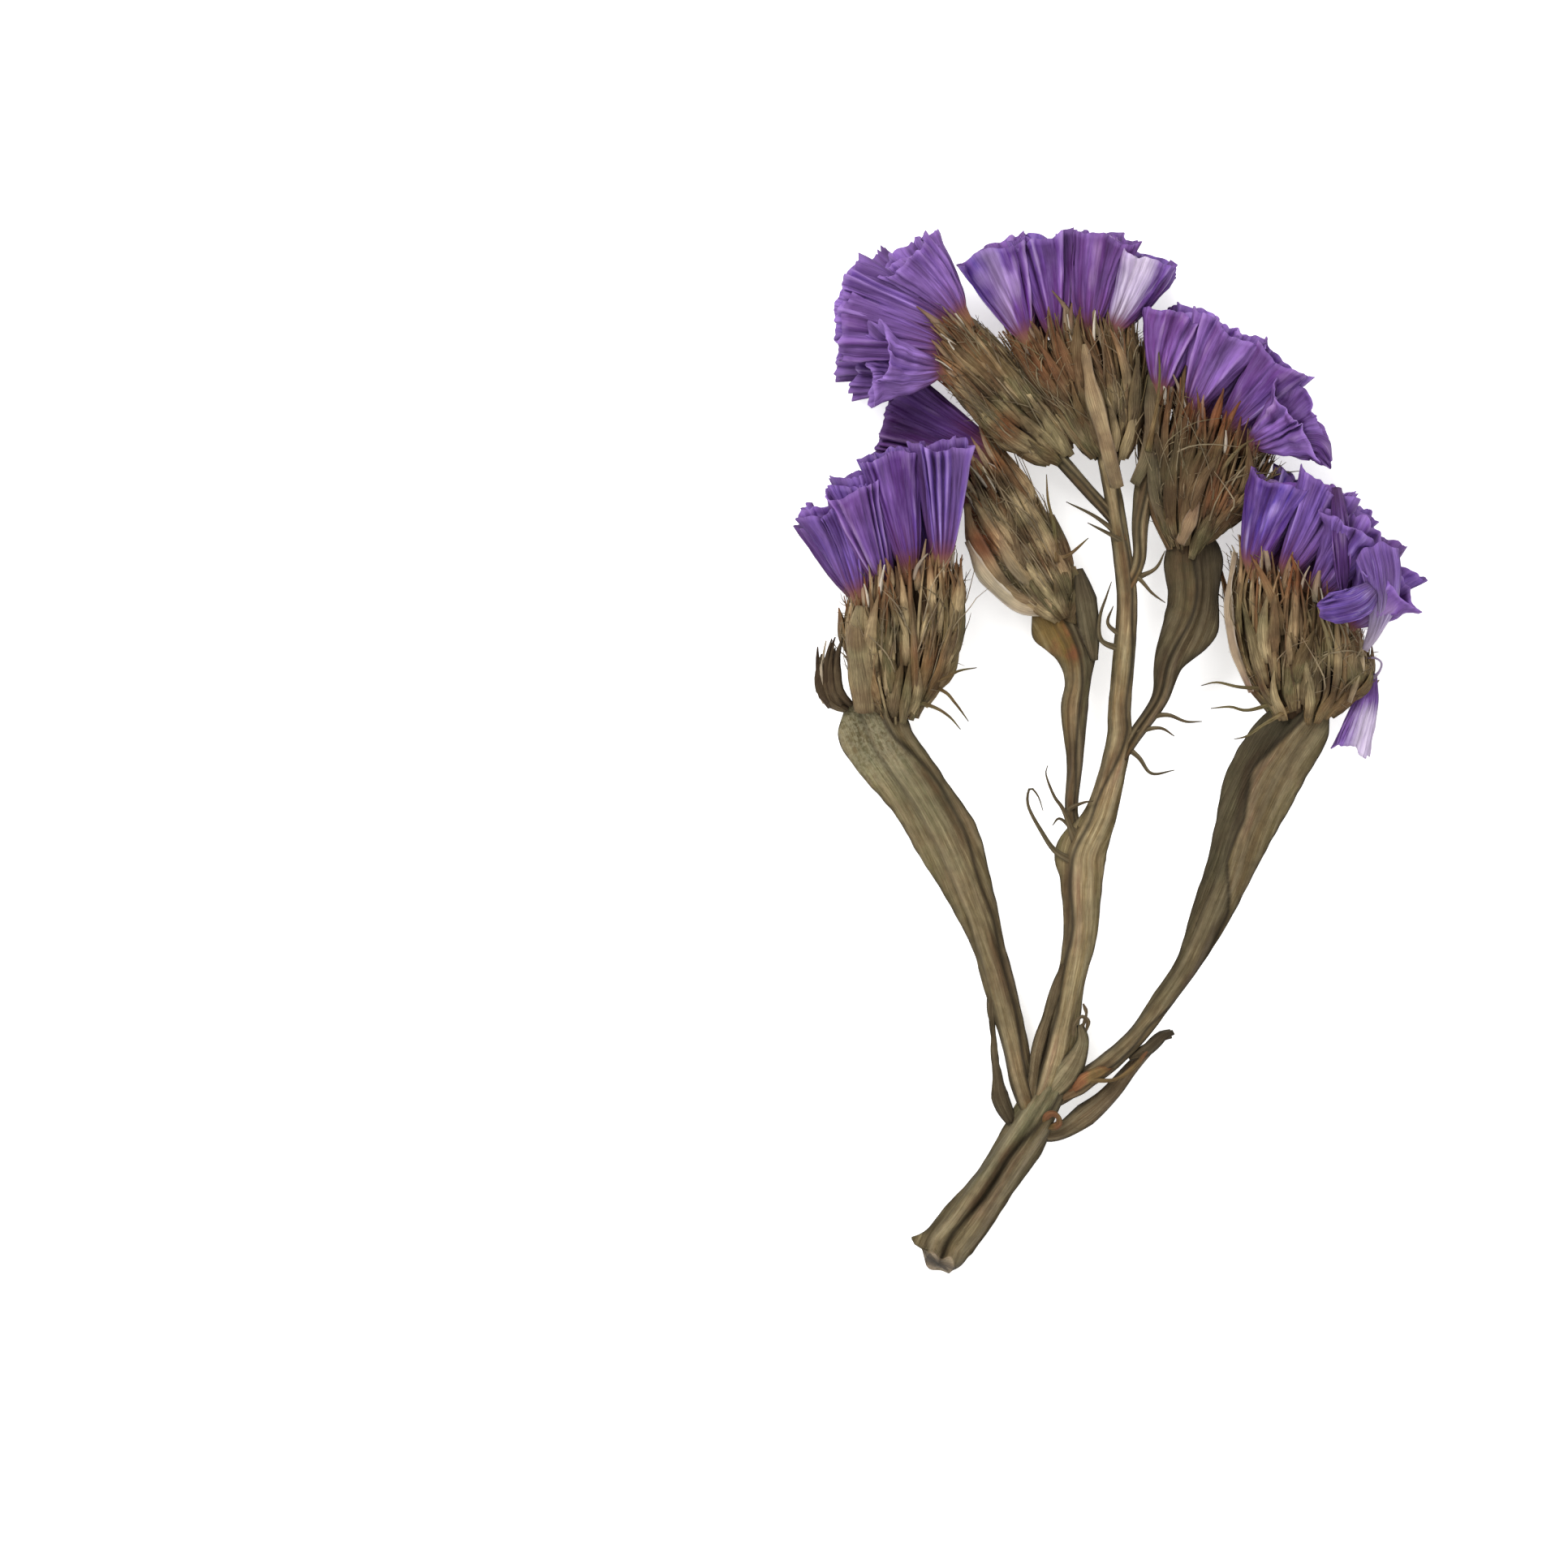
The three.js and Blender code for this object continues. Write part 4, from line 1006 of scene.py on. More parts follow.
@dataclass
class Bracts:
    """The tuft of pointed, hairy bracts of one head."""

    plan: HeadPlan
    seed: int
    inner: int = 60
    outer: int = 200
    shields: int = 26
    foot_bracts: int = 18
    creams: int = 12
    hairs_each: int = 2
    straws: int = 76
    necks: int = 30
    foot_depth: float = 0.8
    throat_depth: float = 2.3
    wall: float = 0.06

    def on_tuft(
        self, height: float | Array, angle: float | Array, width: float | Array = 1.0
    ) -> Array:
        """Finds places on the tuft.

        Args:
            height: From 0 at the foot to 1 where the tubes come out.
            angle: Round the tuft, in radians, with 0 at the right and upwards after it.
            width: Share of the tuft's width.

        Returns:
            The places.
        """
        share = 0.5 + 0.5 * np.asarray(width) * np.cos(angle)
        rise = np.asarray(width * np.sin(angle), float)[..., None] * np.array([0.0, 0.0, 1.0])
        low = through(self.plan.base, share) + self.foot_depth * rise
        high = through(self.plan.throat, share) + self.throat_depth * rise
        height = np.asarray(height, float)[..., None]
        middle_low = through(self.plan.base, 0.5)
        middle = middle_low + (through(self.plan.throat, 0.5) - middle_low) * height
        fuller = 1 + self.plan.swell * np.sin(math.pi * np.clip(height, 0, 1) ** 0.6)
        rounded = 0.72 + 0.28 * smooth((height + 0.1) / 0.24)
        return middle + (low + (high - low) * height - middle) * fuller * rounded

    def length(self) -> float:
        """Measures the tuft from its foot to where the tubes come out."""
        return float(np.linalg.norm(self.on_tuft(1.0, 0.0, 0.0) - self.on_tuft(0.0, 0.0, 0.0)))

    def route(
        self, angle: float, low: float, high: float, widths: tuple[float, float], drift: float
    ) -> Route:
        """Leads a route up the tuft.

        Args:
            angle: Where it starts round the tuft.
            low: The height that it starts at.
            high: The height that it ends at.
            widths: The share of the tuft's width at its start and its end.
            drift: How far round the tuft it wanders.

        Returns:
            Five points, and the way outwards at each.
        """
        steps = np.linspace(0, 1, 5)
        heights = low + (high - low) * steps
        around = angle + drift * steps**1.5
        points = self.on_tuft(heights, around, widths[0] + (widths[1] - widths[0]) * steps)
        middles = self.on_tuft(heights, around, np.zeros(5))
        return points, unit(points - middles)

    def stained(self, places: Array) -> tuple[Array, Array]:
        """Finds how the tuft's patches stain places on it.

        Args:
            places: The places.

        Returns:
            How rusty and how dark each place is.
        """
        rusty, dark = np.zeros(len(places)), np.zeros(len(places))
        for x, y, reach, rust, gloom in self.plan.stains:
            near = np.exp(-(((places[:, 0] - x) ** 2 + (places[:, 1] - y) ** 2) / reach**2))
            rusty += rust * near
            dark += gloom * near
        return rusty, dark

    @staticmethod
    def tip_rust(high: float) -> Array:
        """Gives how rusty a bract's tip is, by the height that it reaches."""
        return smooth((high - 0.86) / 0.1)

    def add_strand(
        self, sheets: Fused, strip: Lattice, route: Route, chance: Draws, half: float,
        deep: float = 0.1, rust: float | Array = 0.0, cream: float = 0.0,
    ) -> Array:
        """Adds one narrow keeled bract.

        Args:
            sheets: What it is added to.
            strip: Its strip.
            route: Its points, and the way outwards at each.
            chance: The draws.
            half: Half its width.
            deep: How deep in the tuft it lies, from 0 to 1, which paints it dark as shade.
            rust: How rusty its tip is.
            cream: How far it has faded to cream.

        Returns:
            The places of its vertices.
        """
        points, facing = route
        points = points + np.outer(np.linspace(0, 1, 5) ** 2, chance.normal(0, 0.14, 3))
        halves = [0.55 * half, half, 0.9 * half, 0.5 * half, 0.02]
        sheet = Sheet(points, halves, facing, arch=0.5, keel=0.6, twist=chance.uniform(-0.7, 0.7))
        places = sheet.laid(strip)
        rusty, dark = self.stained(places)
        light = SUNLIT if chance.uniform(0, 1) > 0.5 + 0.4 * self.plan.gloom else UNLIT
        marks = {
            "edge": np.abs(strip.around),
            "along": strip.along,
            "tint": chance.uniform(0, 1),
            "warm": 0.3 * chance.uniform(0, 1) ** 6
            + rust * chance.uniform(0.1, 1) * strip.along**1.4
            + rusty,
            # Painted light and shade: bright if the bract catches the light, dark where it lies
            # deep in the tuft.
            "bright": chance.uniform(*light) * (1 - 0.6 * np.minimum(dark, 1)),
            "deep": max(deep, 0.3 * self.plan.gloom) + dark,
            "cream": cream,
        }
        across = 2 * half * strip.around + chance.uniform(0, 40)
        sheets.add(strip, places, np.stack([across, 5 * strip.along], axis=1), marks)
        return places

    def add_strands(self, sheets: Fused, threads: Fused, chance: Draws) -> None:
        """Adds the bracts in their layers, with the hairs on them.

        Args:
            sheets: For the bracts.
            threads: For the hairs.
            chance: The draws.
        """
        thin, broad, hair = Lattice.strip(2, 8), Lattice.strip(4, 9), Lattice.rod(3, 3)
        length = self.length()
        for number in range(self.inner + self.outer):
            outer = number >= self.inner
            angle = TURN * ((number * Step.ALONG.value) % 1)
            low = chance.uniform(-0.08, 0.62) if outer else chance.uniform(0.0, 0.5)
            high = min(low + chance.uniform(3.6, 7.5) / length, chance.uniform(0.93, 1.14))
            width = chance.uniform(0.88, 1.02) if outer else chance.uniform(0.66, 0.84)
            widths = (width - 0.06, width + (chance.uniform(-0.06, 0.07) if outer else 0.04))
            route = self.route(angle, low, high, widths, chance.normal(0, 0.17))
            half = chance.uniform(0.08, 0.18) if outer else chance.uniform(0.22, 0.4)
            half *= chance.uniform(1.8, 2.6) if number % 4 == 0 and outer else 1.0
            # Inner bracts get painted shade, as they lie deep in the tuft.
            deep, rust = 0.0 if outer else 0.75, self.tip_rust(high)
            places = self.add_strand(sheets, thin, route, chance, half, deep, rust)
            if outer:
                self.add_hairs(threads, hair, places, route, chance)
        for number in range(self.shields):
            angle = TURN * ((number * Step.TURN.value) % 1)
            low = chance.uniform(0.02, 0.6)
            high = min(low + chance.uniform(3.2, 5.4) / length, chance.uniform(0.95, 1.08))
            widths = (0.94, chance.uniform(0.98, 1.16))
            route = self.route(angle, low, high, widths, chance.normal(0, 0.2))
            half = chance.uniform(0.3, 0.58)
            self.add_strand(sheets, broad, route, chance, half, rust=self.tip_rust(high))
        for number in range(self.foot_bracts):
            angle = TURN * ((number + 0.3 * chance.uniform(-1, 1)) / self.foot_bracts)
            low = chance.uniform(-0.1, 0.04)
            high = low + chance.uniform(2.4, 3.8) / length
            widths = (0.9, chance.uniform(0.98, 1.04))
            route = self.route(angle, low, high, widths, chance.normal(0, 0.14))
            self.add_strand(sheets, broad, route, chance, chance.uniform(0.34, 0.54))
        for number in range(self.necks):
            angle = TURN * (number + chance.uniform(0, 1)) / self.necks
            low = chance.uniform(0.78, 0.92)
            high = low + chance.uniform(1.8, 3.0) / length
            widths = (0.8, chance.uniform(0.8, 0.92))
            route = self.route(angle, low, high, widths, chance.normal(0, 0.1))
            cream = 0.25 * chance.uniform(0, 1) ** 2
            half = chance.uniform(0.14, 0.28)
            self.add_strand(sheets, thin, route, chance, half, rust=1.5, cream=cream)
        for number in range(self.creams):
            angle = TURN * (number + chance.uniform(0, 1)) / self.creams
            low = chance.uniform(0.78, 0.92)
            route = self.route(angle, low, low + 1.7 / length, (0.92, 0.96), chance.normal(0, 0.1))
            half, cream = chance.uniform(0.07, 0.14), chance.uniform(0.2, 1)
            self.add_strand(sheets, thin, route, chance, half, deep=0.0, cream=cream)

    def add_hairs(
        self, threads: Fused, hair: Lattice, places: Array, route: Route, chance: Draws
    ) -> None:
        """Adds the short stiff hairs that stand off one bract.

        Args:
            threads: What they are added to.
            hair: Their rod.
            places: The places of the bract's vertices.
            route: The bract's points, and the way outwards at each.
            chance: The draws.
        """
        points, facing = route
        outward = facing[2]
        forward = unit(points[-1] - points[0])
        for _ in range(self.hairs_each):
            start = places[chance.integers(0, len(places))]
            stray = unit(0.8 * forward + 0.6 * chance.normal(0, 1, 3) + 0.4 * outward)
            size = chance.uniform(0.35, 1.0)
            course = [start, start + 0.55 * size * stray + 0.06 * outward, start + size * stray]
            laid = laid_rod(hair, course, [0.03, 0.024, 0.008])
            self.add_plain(threads, hair, laid, chance.uniform(0, 1), chance.uniform(0.4, 1.0))

    @staticmethod
    def add_plain(
        threads: Fused, lattice: Lattice, places: Array, tint: float, bright: float
    ) -> None:
        """Adds one closed thread, with the same masks as a bract has.

        Args:
            threads: What it is added to.
            lattice: Its rod.
            places: The places of its vertices.
            tint: From brown at 0 over olive to green at 1.
            bright: How bright it is.
        """
        marks = dict(edge=0.3, along=lattice.along, tint=tint, warm=0.08, bright=bright)
        marks.update(deep=0.0, cream=0.15 * bright)
        pattern = np.stack([lattice.around, 5 * lattice.along], axis=1)
        threads.add(lattice, places, pattern, marks)

    def add_straws(self, threads: Fused, chance: Draws) -> None:
        """Adds the long thin awns that wander over the tuft.

        Args:
            threads: What they are added to.
            chance: The draws.
        """
        rod = Lattice.rod(4, 8)
        for number in range(self.straws):
            angle = chance.uniform(0, TURN)
            low = chance.uniform(0.0, 0.6)
            high = min(low + chance.uniform(0.3, 0.6), 1.16)
            reach = chance.uniform(1.2, 1.5) if number % 6 == 0 else chance.uniform(1.0, 1.16)
            points, facing = self.route(angle, low, high, (0.94, reach), chance.normal(0, 0.5))
            points = points + facing * chance.uniform(0, 0.35, 5)[:, None]
            thick = chance.uniform(0.03, 0.062)
            places = laid_rod(rod, points, [thick, thick, 0.7 * thick, 0.015])
            self.add_plain(threads, rod, places, chance.uniform(0, 1), chance.uniform(0.2, 1.0))

    def add_core(self, threads: Fused) -> None:
        """Adds the spine that the bracts root in, painted dark as the shade between them.

        Args:
            threads: What it is added to.
        """
        rod = Lattice.rod(20, 16)
        heights = rod.along * 0.96 - 0.05
        widths = np.interp(rod.along, [0, 0.25, 0.65, 1], [0.5, 0.68, 0.7, 0.5])
        places = self.on_tuft(heights, TURN * rod.around, widths * rod.radius)
        # Painted shade all over it.
        marks = dict(edge=0.0, along=rod.along, tint=0.3, warm=0.1, bright=0.0, deep=1.0, cream=0.0)
        threads.add(rod, places, np.stack([3 * rod.around, 8 * rod.along], axis=1), marks)

    def add_curls(self, sheets: Fused, threads: Fused) -> None:
        """Adds the curled tips and broad dried bracts at the foot of the head.

        Args:
            sheets: For the bracts.
            threads: For the tips.
        """
        rod = Lattice.rod(6, 22)
        for rows in HEAD_CURLS.get(self.plan.name, ()):
            places = laid_rod(rod, rows, TIP_RADII, TIP_FLAT)
            self.add_plain(threads, rod, places, tint=0.9, bright=0.0)
        broad = Lattice.strip(10, 24)
        for blade in HEAD_BLADES.get(self.plan.name, ()):
            places = blade.sheet(arch=0.8, twist=0.5, ruffle=0.2).laid(broad)
            rusty, dark = self.stained(places)
            marks = {
                "edge": np.abs(broad.around),
                "along": broad.along,
                "tint": 0.7,
                "warm": blade.warm + rusty,
                "bright": blade.bright,
                "deep": blade.dark + 0.6 * dark,
                "cream": blade.cream * (0.3 + 0.7 * smooth((np.abs(broad.around) - 0.6) / 0.4)),
            }
            pattern = np.stack([broad.around, 5 * broad.along], axis=1)
            sheets.add(broad, places, pattern, marks)

    def add_tatters(self, sheets: Fused, chance: Draws) -> None:
        """Adds the torn scraps that hang beside the head, mostly dark, some pale.

        Args:
            sheets: What they are added to.
            chance: The draws.
        """
        thin = Lattice.strip(2, 8)
        upward = np.tile((0.0, 0.0, 1.0), (5, 1))
        rows, count = HEAD_TATTERS.get(self.plan.name, ((), 0))
        for number in range(count):
            shares = np.linspace(chance.uniform(0, 0.35), chance.uniform(0.6, 1.0), 5)
            points = spline(rows, shares) + chance.normal(0, 1, 3) * (0.24, 0.16, 0.12)
            pale = number % 4 == 0
            deep, cream = (0.1, 0.3) if pale else (1.1, 0.0)
            half = chance.uniform(0.08, 0.14) if pale else chance.uniform(0.2, 0.34)
            self.add_strand(sheets, thin, (points, upward), chance, half, deep, 0.3, cream)

    def build(self, straw: Material) -> Piece:
        """Builds the piece.

        Args:
            straw: Its material.

        Returns:
            The piece.
        """
        chance = np.random.default_rng(self.seed)
        sheets, threads = Fused(), Fused()
        self.add_strands(sheets, threads, chance)
        self.add_straws(threads, chance)
        self.add_core(threads)
        self.add_curls(sheets, threads)
        self.add_tatters(sheets, chance)
        name = f"{self.plan.name}_bract_tuft"
        parts = [sheets.piece(name, straw, self.wall), threads.piece("threads", straw)]
        return dressed(name, parts, f"{self.plan.name}_bracts")


@dataclass(frozen=True)
class StemPlan:
    """One winged stretch of stem.

    Attributes:
        rows: x, y, z, left wing, right wing, core, crest, groove, left lift, right lift.
        warm: How brown, against grey-green: left at its start and end, right at its start and end.
        dark: How dark, in the same order.
        crease: Where a shaded crease is painted, in millimetres right of the middle, at even steps.
        specks: How many pale specks its left wing has at its end.
        rusty: How rusty the end of its left wing is.
        joint: How rusty its start is.
        wave: How far the wings' edges wave.
        tongue: How far it runs on, narrower, under a head.
        cut: Whether its start is cut off and shows its pith.
    """

    rows: tuple[Row, ...]
    warm: tuple[float, float, float, float]
    dark: tuple[float, float, float, float] = (0.0, 0.0, 0.0, 0.0)
    crease: tuple[float, ...] = (0.0, 0.0)
    specks: float = 0.0
    rusty: float = 0.0
    joint: float = 0.6
    wave: float = 0.08
    tongue: float = 0.0
    cut: bool = False


STEMS = (
    StemPlan((
        (-10.8, -32.2, 1.3, 0.9, 0.9, 0.8, 1.3, 0.6, 0, 0),
        (-10.45, -31.5, 1.3, 2.2, 1.3, 1.0, 1.3, 0.6, 0.3, 0),
        (-9.95, -30.5, 1.3, 1.6, 1.5, 1.0, 1.3, 0.6, 0.1, 0),
        (-9.0, -29.3, 1.3, 1.6, 1.45, 1.0, 1.3, 0.6, 0, 0),
        (-7.4, -27.0, 1.3, 1.25, 1.4, 0.9, 1.3, 0.6, 0, 0),
        (-5.4, -24.1, 1.3, 1.45, 1.45, 0.9, 1.3, 0.7, 0, 0),
        (-4.1, -22.1, 1.5, 1.6, 0.95, 0.9, 1.1, 0.8, 0, 0),
        (-3.4, -20.8, 1.7, 0.8, 0.8, 0.6, 0.7, 0.6, 0, 0),
    ), warm=(0.5, 0.0, 0.5, 0.5), dark=(0.56, 0.4, 0.6, 0.7),
        crease=(-0.1, -0.2, 0.0, -0.1, 0.2, 0.5), joint=0.0, wave=0.03, cut=True,
    ),
    StemPlan((
        (-4.7, -22.8, 1.5, 0.5, 0.5, 0.4, 0.5, 0.4, 0, 0),
        (-5.4, -20.8, 1.6, 0.7, 0.7, 0.5, 0.7, 0.6, 0, 0),
        (-6.0, -18.2, 1.8, 0.65, 0.95, 0.5, 0.7, 0.6, 0, 0),
        (-7.0, -14.1, 2.1, 0.95, 1.05, 0.5, 0.7, 0.7, 0, 0.1),
        (-7.6, -12.2, 2.2, 0.9, 1.15, 0.5, 0.7, 0.7, 0, 0.3),
        (-8.5, -9.5, 2.5, 1.25, 1.45, 0.5, 0.7, 0.7, 0.1, 0.5),
        (-10.2, -5.5, 3.0, 1.85, 2.05, 0.55, 0.7, 0.7, -0.2, 0.7),
        (-11.9, -2.4, 3.4, 2.1, 1.8, 0.6, 0.7, 0.7, 0.3, 0.4),
        (-13.7, 0.3, 3.9, 2.55, 1.75, 0.7, 0.8, 0.8, -0.1, 0.6),
        (-14.4, 1.9, 4.1, 2.6, 1.7, 0.7, 0.8, 0.8, 0.2, 0.3),
    ), warm=(0.8, 0.0, 1.0, 0.45), dark=(0.42, 0.4, 0.7, 0.6),
        crease=(0.2, 0.5, 0.6, 0.7, 0.9, 1.2, 1.4, 0.7, 0.2), specks=1.0, tongue=1.6,
    ),
    StemPlan((
        (-4.6, -22.4, 1.5, 0.5, 0.5, 0.4, 0.5, 0.4, 0, 0),
        (-3.5, -19.2, 1.9, 0.8, 1.0, 0.55, 0.75, 0.75, 0.2, 0),
        (-3.0, -17.0, 2.1, 0.95, 1.1, 0.55, 0.75, 0.75, -0.1, 0),
        (-2.4, -14.1, 2.4, 0.9, 0.9, 0.55, 0.75, 0.75, 0.1, 0),
        (-1.9, -11.2, 2.7, 1.0, 1.1, 0.6, 0.75, 0.75, 0, 0),
        (-1.8, -7.9, 3.0, 1.3, 1.3, 0.7, 0.8, 0.8, 0, 0),
        (-1.7, -6.2, 3.1, 1.7, 1.5, 0.7, 0.8, 0.8, 0, 0),
        (-0.6, -3.7, 3.3, 0.95, 1.05, 0.6, 0.75, 0.75, 0, 0),
        (0.5, 0.5, 3.6, 0.8, 0.75, 0.5, 0.65, 0.65, 0, 0),
        (0.6, 2.8, 3.7, 0.75, 0.65, 0.5, 0.65, 0.65, 0, 0),
        (1.0, 8.5, 4.0, 0.7, 0.65, 0.48, 0.6, 0.6, 0, 0),
        (0.8, 11.2, 4.2, 0.6, 0.6, 0.48, 0.6, 0.6, 0, 0),
        (0.2, 15.2, 4.4, 0.55, 0.55, 0.42, 0.55, 0.55, 0, 0),
        (-0.5, 18.6, 4.6, 0.5, 0.5, 0.4, 0.5, 0.5, 0, 0),
    ), warm=(0.5, 0.95, 0.45, 0.9), dark=(0.0, 0.16, 0.0, 0.16),
        crease=(-0.5, -0.55, -0.5, -0.6, -0.4, 0.4, 0.4, 0.3, 0.3, 0.2), wave=0.05, tongue=2.5,
    ),
    StemPlan((
        (-4.5, -22.2, 1.5, 0.5, 0.5, 0.4, 0.5, 0.4, 0, 0),
        (-2.2, -20.7, 1.7, 0.65, 0.65, 0.5, 0.6, 0.5, 0, 0),
        (-0.4, -19.5, 1.9, 0.65, 0.65, 0.5, 0.6, 0.5, 0, 0),
        (1.6, -17.7, 2.1, 0.65, 0.6, 0.48, 0.6, 0.5, 0, 0),
        (3.3, -15.6, 2.3, 0.85, 0.5, 0.48, 0.6, 0.6, 0, 0),
        (5.0, -13.0, 2.6, 0.9, 0.65, 0.48, 0.6, 0.6, 0, 0.1),
        (6.5, -9.5, 3.0, 1.4, 1.25, 0.5, 0.65, 0.65, 0.4, 0),
        (7.4, -7.2, 3.2, 1.55, 1.5, 0.5, 0.65, 0.65, 0.6, -0.2),
        (8.1, -5.0, 3.4, 1.8, 1.9, 0.5, 0.65, 0.65, 0.3, 0.3),
        (9.2, -2.4, 3.7, 2.3, 2.1, 0.55, 0.7, 0.7, 0.6, -0.1),
        (10.6, 0.0, 4.0, 2.4, 2.05, 0.6, 0.7, 0.7, 0.2, 0.3),
        (11.8, 1.8, 4.1, 1.9, 1.85, 0.6, 0.7, 0.7, 0.3, 0.2),
    ), warm=(0.9, 0.0, 0.9, 0.6), dark=(0.34, 1.25, 0.5, 0.74),
        crease=(0.2, 0.3, 0.3, 0.2, 0.6, 0.8, 0.8, -0.3, -0.3, -1.0, -0.5, 0.2), wave=0.1,
        tongue=1.6,
    ),
    StemPlan((
        (-1.6, -6.4, 3.0, 0.4, 0.4, 0.3, 0.4, 0.35, 0, 0),
        (-2.3, -4.4, 2.9, 0.42, 0.42, 0.3, 0.4, 0.35, 0, 0),
        (-2.4, -3.2, 2.8, 0.42, 0.42, 0.3, 0.4, 0.35, 0, 0),
        (-2.1, -0.8, 2.7, 0.6, 0.4, 0.3, 0.45, 0.4, 0, 0),
        (-2.2, 2.5, 2.8, 0.85, 0.8, 0.35, 0.45, 0.45, 0.1, 0),
        (-1.9, 4.3, 2.9, 0.95, 0.7, 0.35, 0.45, 0.45, 0, 0.2),
        (-2.1, 6.1, 3.0, 1.4, 1.3, 0.4, 0.5, 0.5, 0.3, -0.1),
        (-2.9, 8.0, 3.1, 2.2, 1.7, 0.5, 0.5, 0.5, 0, 0.2),
        (-3.7, 9.4, 3.1, 1.4, 1.1, 0.5, 0.5, 0.5, 0.2, 0),
    ), warm=(0.8, 1.0, 0.6, 0.1), dark=(0.55, 0.4, 0.6, 0.85),
        crease=(0.1, 0.1, 0.0, 0.2, 0.2, 0.0, 0.3), rusty=1.0, wave=0.12, tongue=2.0,
    ),
    StemPlan((
        (0.7, 12.9, 4.3, 0.4, 0.4, 0.3, 0.4, 0.35, 0, 0),
        (0.2, 14.2, 4.3, 0.4, 0.4, 0.3, 0.4, 0.35, 0, 0),
        (-1.5, 16.1, 4.2, 0.4, 0.4, 0.3, 0.4, 0.35, 0, 0),
        (-3.6, 18.5, 4.2, 0.45, 0.45, 0.3, 0.4, 0.35, 0, 0),
    ), warm=(0.6, 0.4, 0.6, 0.4), dark=(0.4, 0.5, 0.4, 0.5), wave=0.03, tongue=2.0,
    ),
    StemPlan((
        (0.6, -0.4, 3.6, 0.4, 0.4, 0.3, 0.4, 0.35, 0, 0),
        (1.6, 1.1, 3.6, 0.45, 0.45, 0.3, 0.4, 0.35, 0, 0),
        (3.0, 3.2, 3.7, 0.55, 0.55, 0.35, 0.45, 0.4, 0, 0),
        (3.6, 5.5, 3.8, 0.95, 0.95, 0.4, 0.5, 0.45, 0.2, 0),
        (4.7, 7.8, 4.0, 1.5, 1.9, 0.4, 0.5, 0.5, -0.1, 0.4),
        (5.1, 9.6, 4.2, 1.6, 1.5, 0.45, 0.5, 0.5, 0.3, 0),
        (5.0, 12.0, 4.4, 1.8, 1.9, 0.5, 0.5, 0.5, 0, 0.2),
    ), warm=(0.9, 0.15, 0.9, 0.4), dark=(0.55, 1.1, 0.55, 1.3),
        crease=(0.0, 0.0, -0.1, 0.1, 0.1, 0.0), rusty=0.4, wave=0.14, tongue=1.6,
    ),
    StemPlan((
        (0.9, 9.9, 4.2, 0.4, 0.4, 0.3, 0.4, 0.35, 0, 0),
        (1.7, 11.7, 4.4, 0.4, 0.4, 0.3, 0.4, 0.35, 0, 0),
        (1.8, 14.0, 4.5, 0.55, 0.5, 0.3, 0.4, 0.35, 0, 0),
        (2.3, 17.0, 4.6, 0.8, 0.6, 0.3, 0.4, 0.35, 0, 0),
    ), warm=(0.7, 0.1, 0.7, 0.3), dark=(0.25, 0.4, 0.25, 0.4), wave=0.04, tongue=1.5,
    ),
)

# Blades that leave the stem.
STEM_BLADES = (
    Blade(((-7.1, -13.8, 2.1, 0.3), (-7.35, -15.8, 2.0, 0.22), (-7.2, -17.8, 1.8, 0.16),
        (-7.0, -19.9, 1.6, 0.18), (-6.8, -21.4, 1.5, 0.6), (-6.1, -23.0, 1.4, 0.3)), warm=0.5,
        dark=0.8),
    Blade(((-3.7, -21.2, 1.9, 0.5), (-2.3, -19.4, 2.4, 0.85), (-1.7, -18.0, 2.6, 0.5),
        (-1.9, -16.9, 2.9, 0.15)), dark=0.25),
    Blade(((-4.9, -23.7, 1.3, 0.35), (-3.2, -23.6, 1.2, 0.5), (-1.2, -22.3, 1.1, 0.7),
        (0.3, -20.9, 1.2, 0.55), (1.6, -19.3, 1.4, 0.4), (3.0, -17.8, 1.6, 0.35),
        (3.8, -17.5, 1.7, 0.25)), warm=0.8, dark=0.7),
    Blade(((-2.2, -20.9, 2.3, 0.2), (-1.6, -20.3, 2.8, 0.4), (-0.8, -19.9, 2.6, 0.32),
        (0.0, -19.6, 2.2, 0.15)), warm=1.9, dark=0.15),
    Blade(((-2.9, -21.5, 2.0, 0.2), (-1.9, -20.9, 2.3, 0.34), (-1.0, -20.2, 2.4, 0.36),
        (0.2, -19.6, 2.2, 0.1)), warm=1.3, dark=0.6),
    Blade(((-4.9, -21.6, 1.8, 0.3), (-4.5, -18.6, 2.1, 0.35), (-3.7, -15.9, 2.4, 0.35),
        (-2.9, -13.2, 2.6, 0.2)), warm=0.7, dark=0.6),
    Blade(((1.2, -19.0, 2.0, 0.15), (2.2, -18.5, 2.3, 0.35), (3.2, -17.7, 2.4, 0.3),
        (3.9, -17.4, 2.3, 0.2)), warm=0.6, dark=1.0),
    Blade(((-1.0, 5.6, 3.4, 0.2), (-1.3, 7.3, 3.8, 0.62), (-1.6, 9.3, 4.0, 0.72),
        (-2.0, 11.2, 3.9, 0.2)), warm=0.2, dark=0.8),
)


@dataclass(frozen=True)
class Knot:
    """A loop or knot of dried wing, by how orange and how thick it is."""

    rows: tuple[Row, ...]
    rust: float
    thick: float


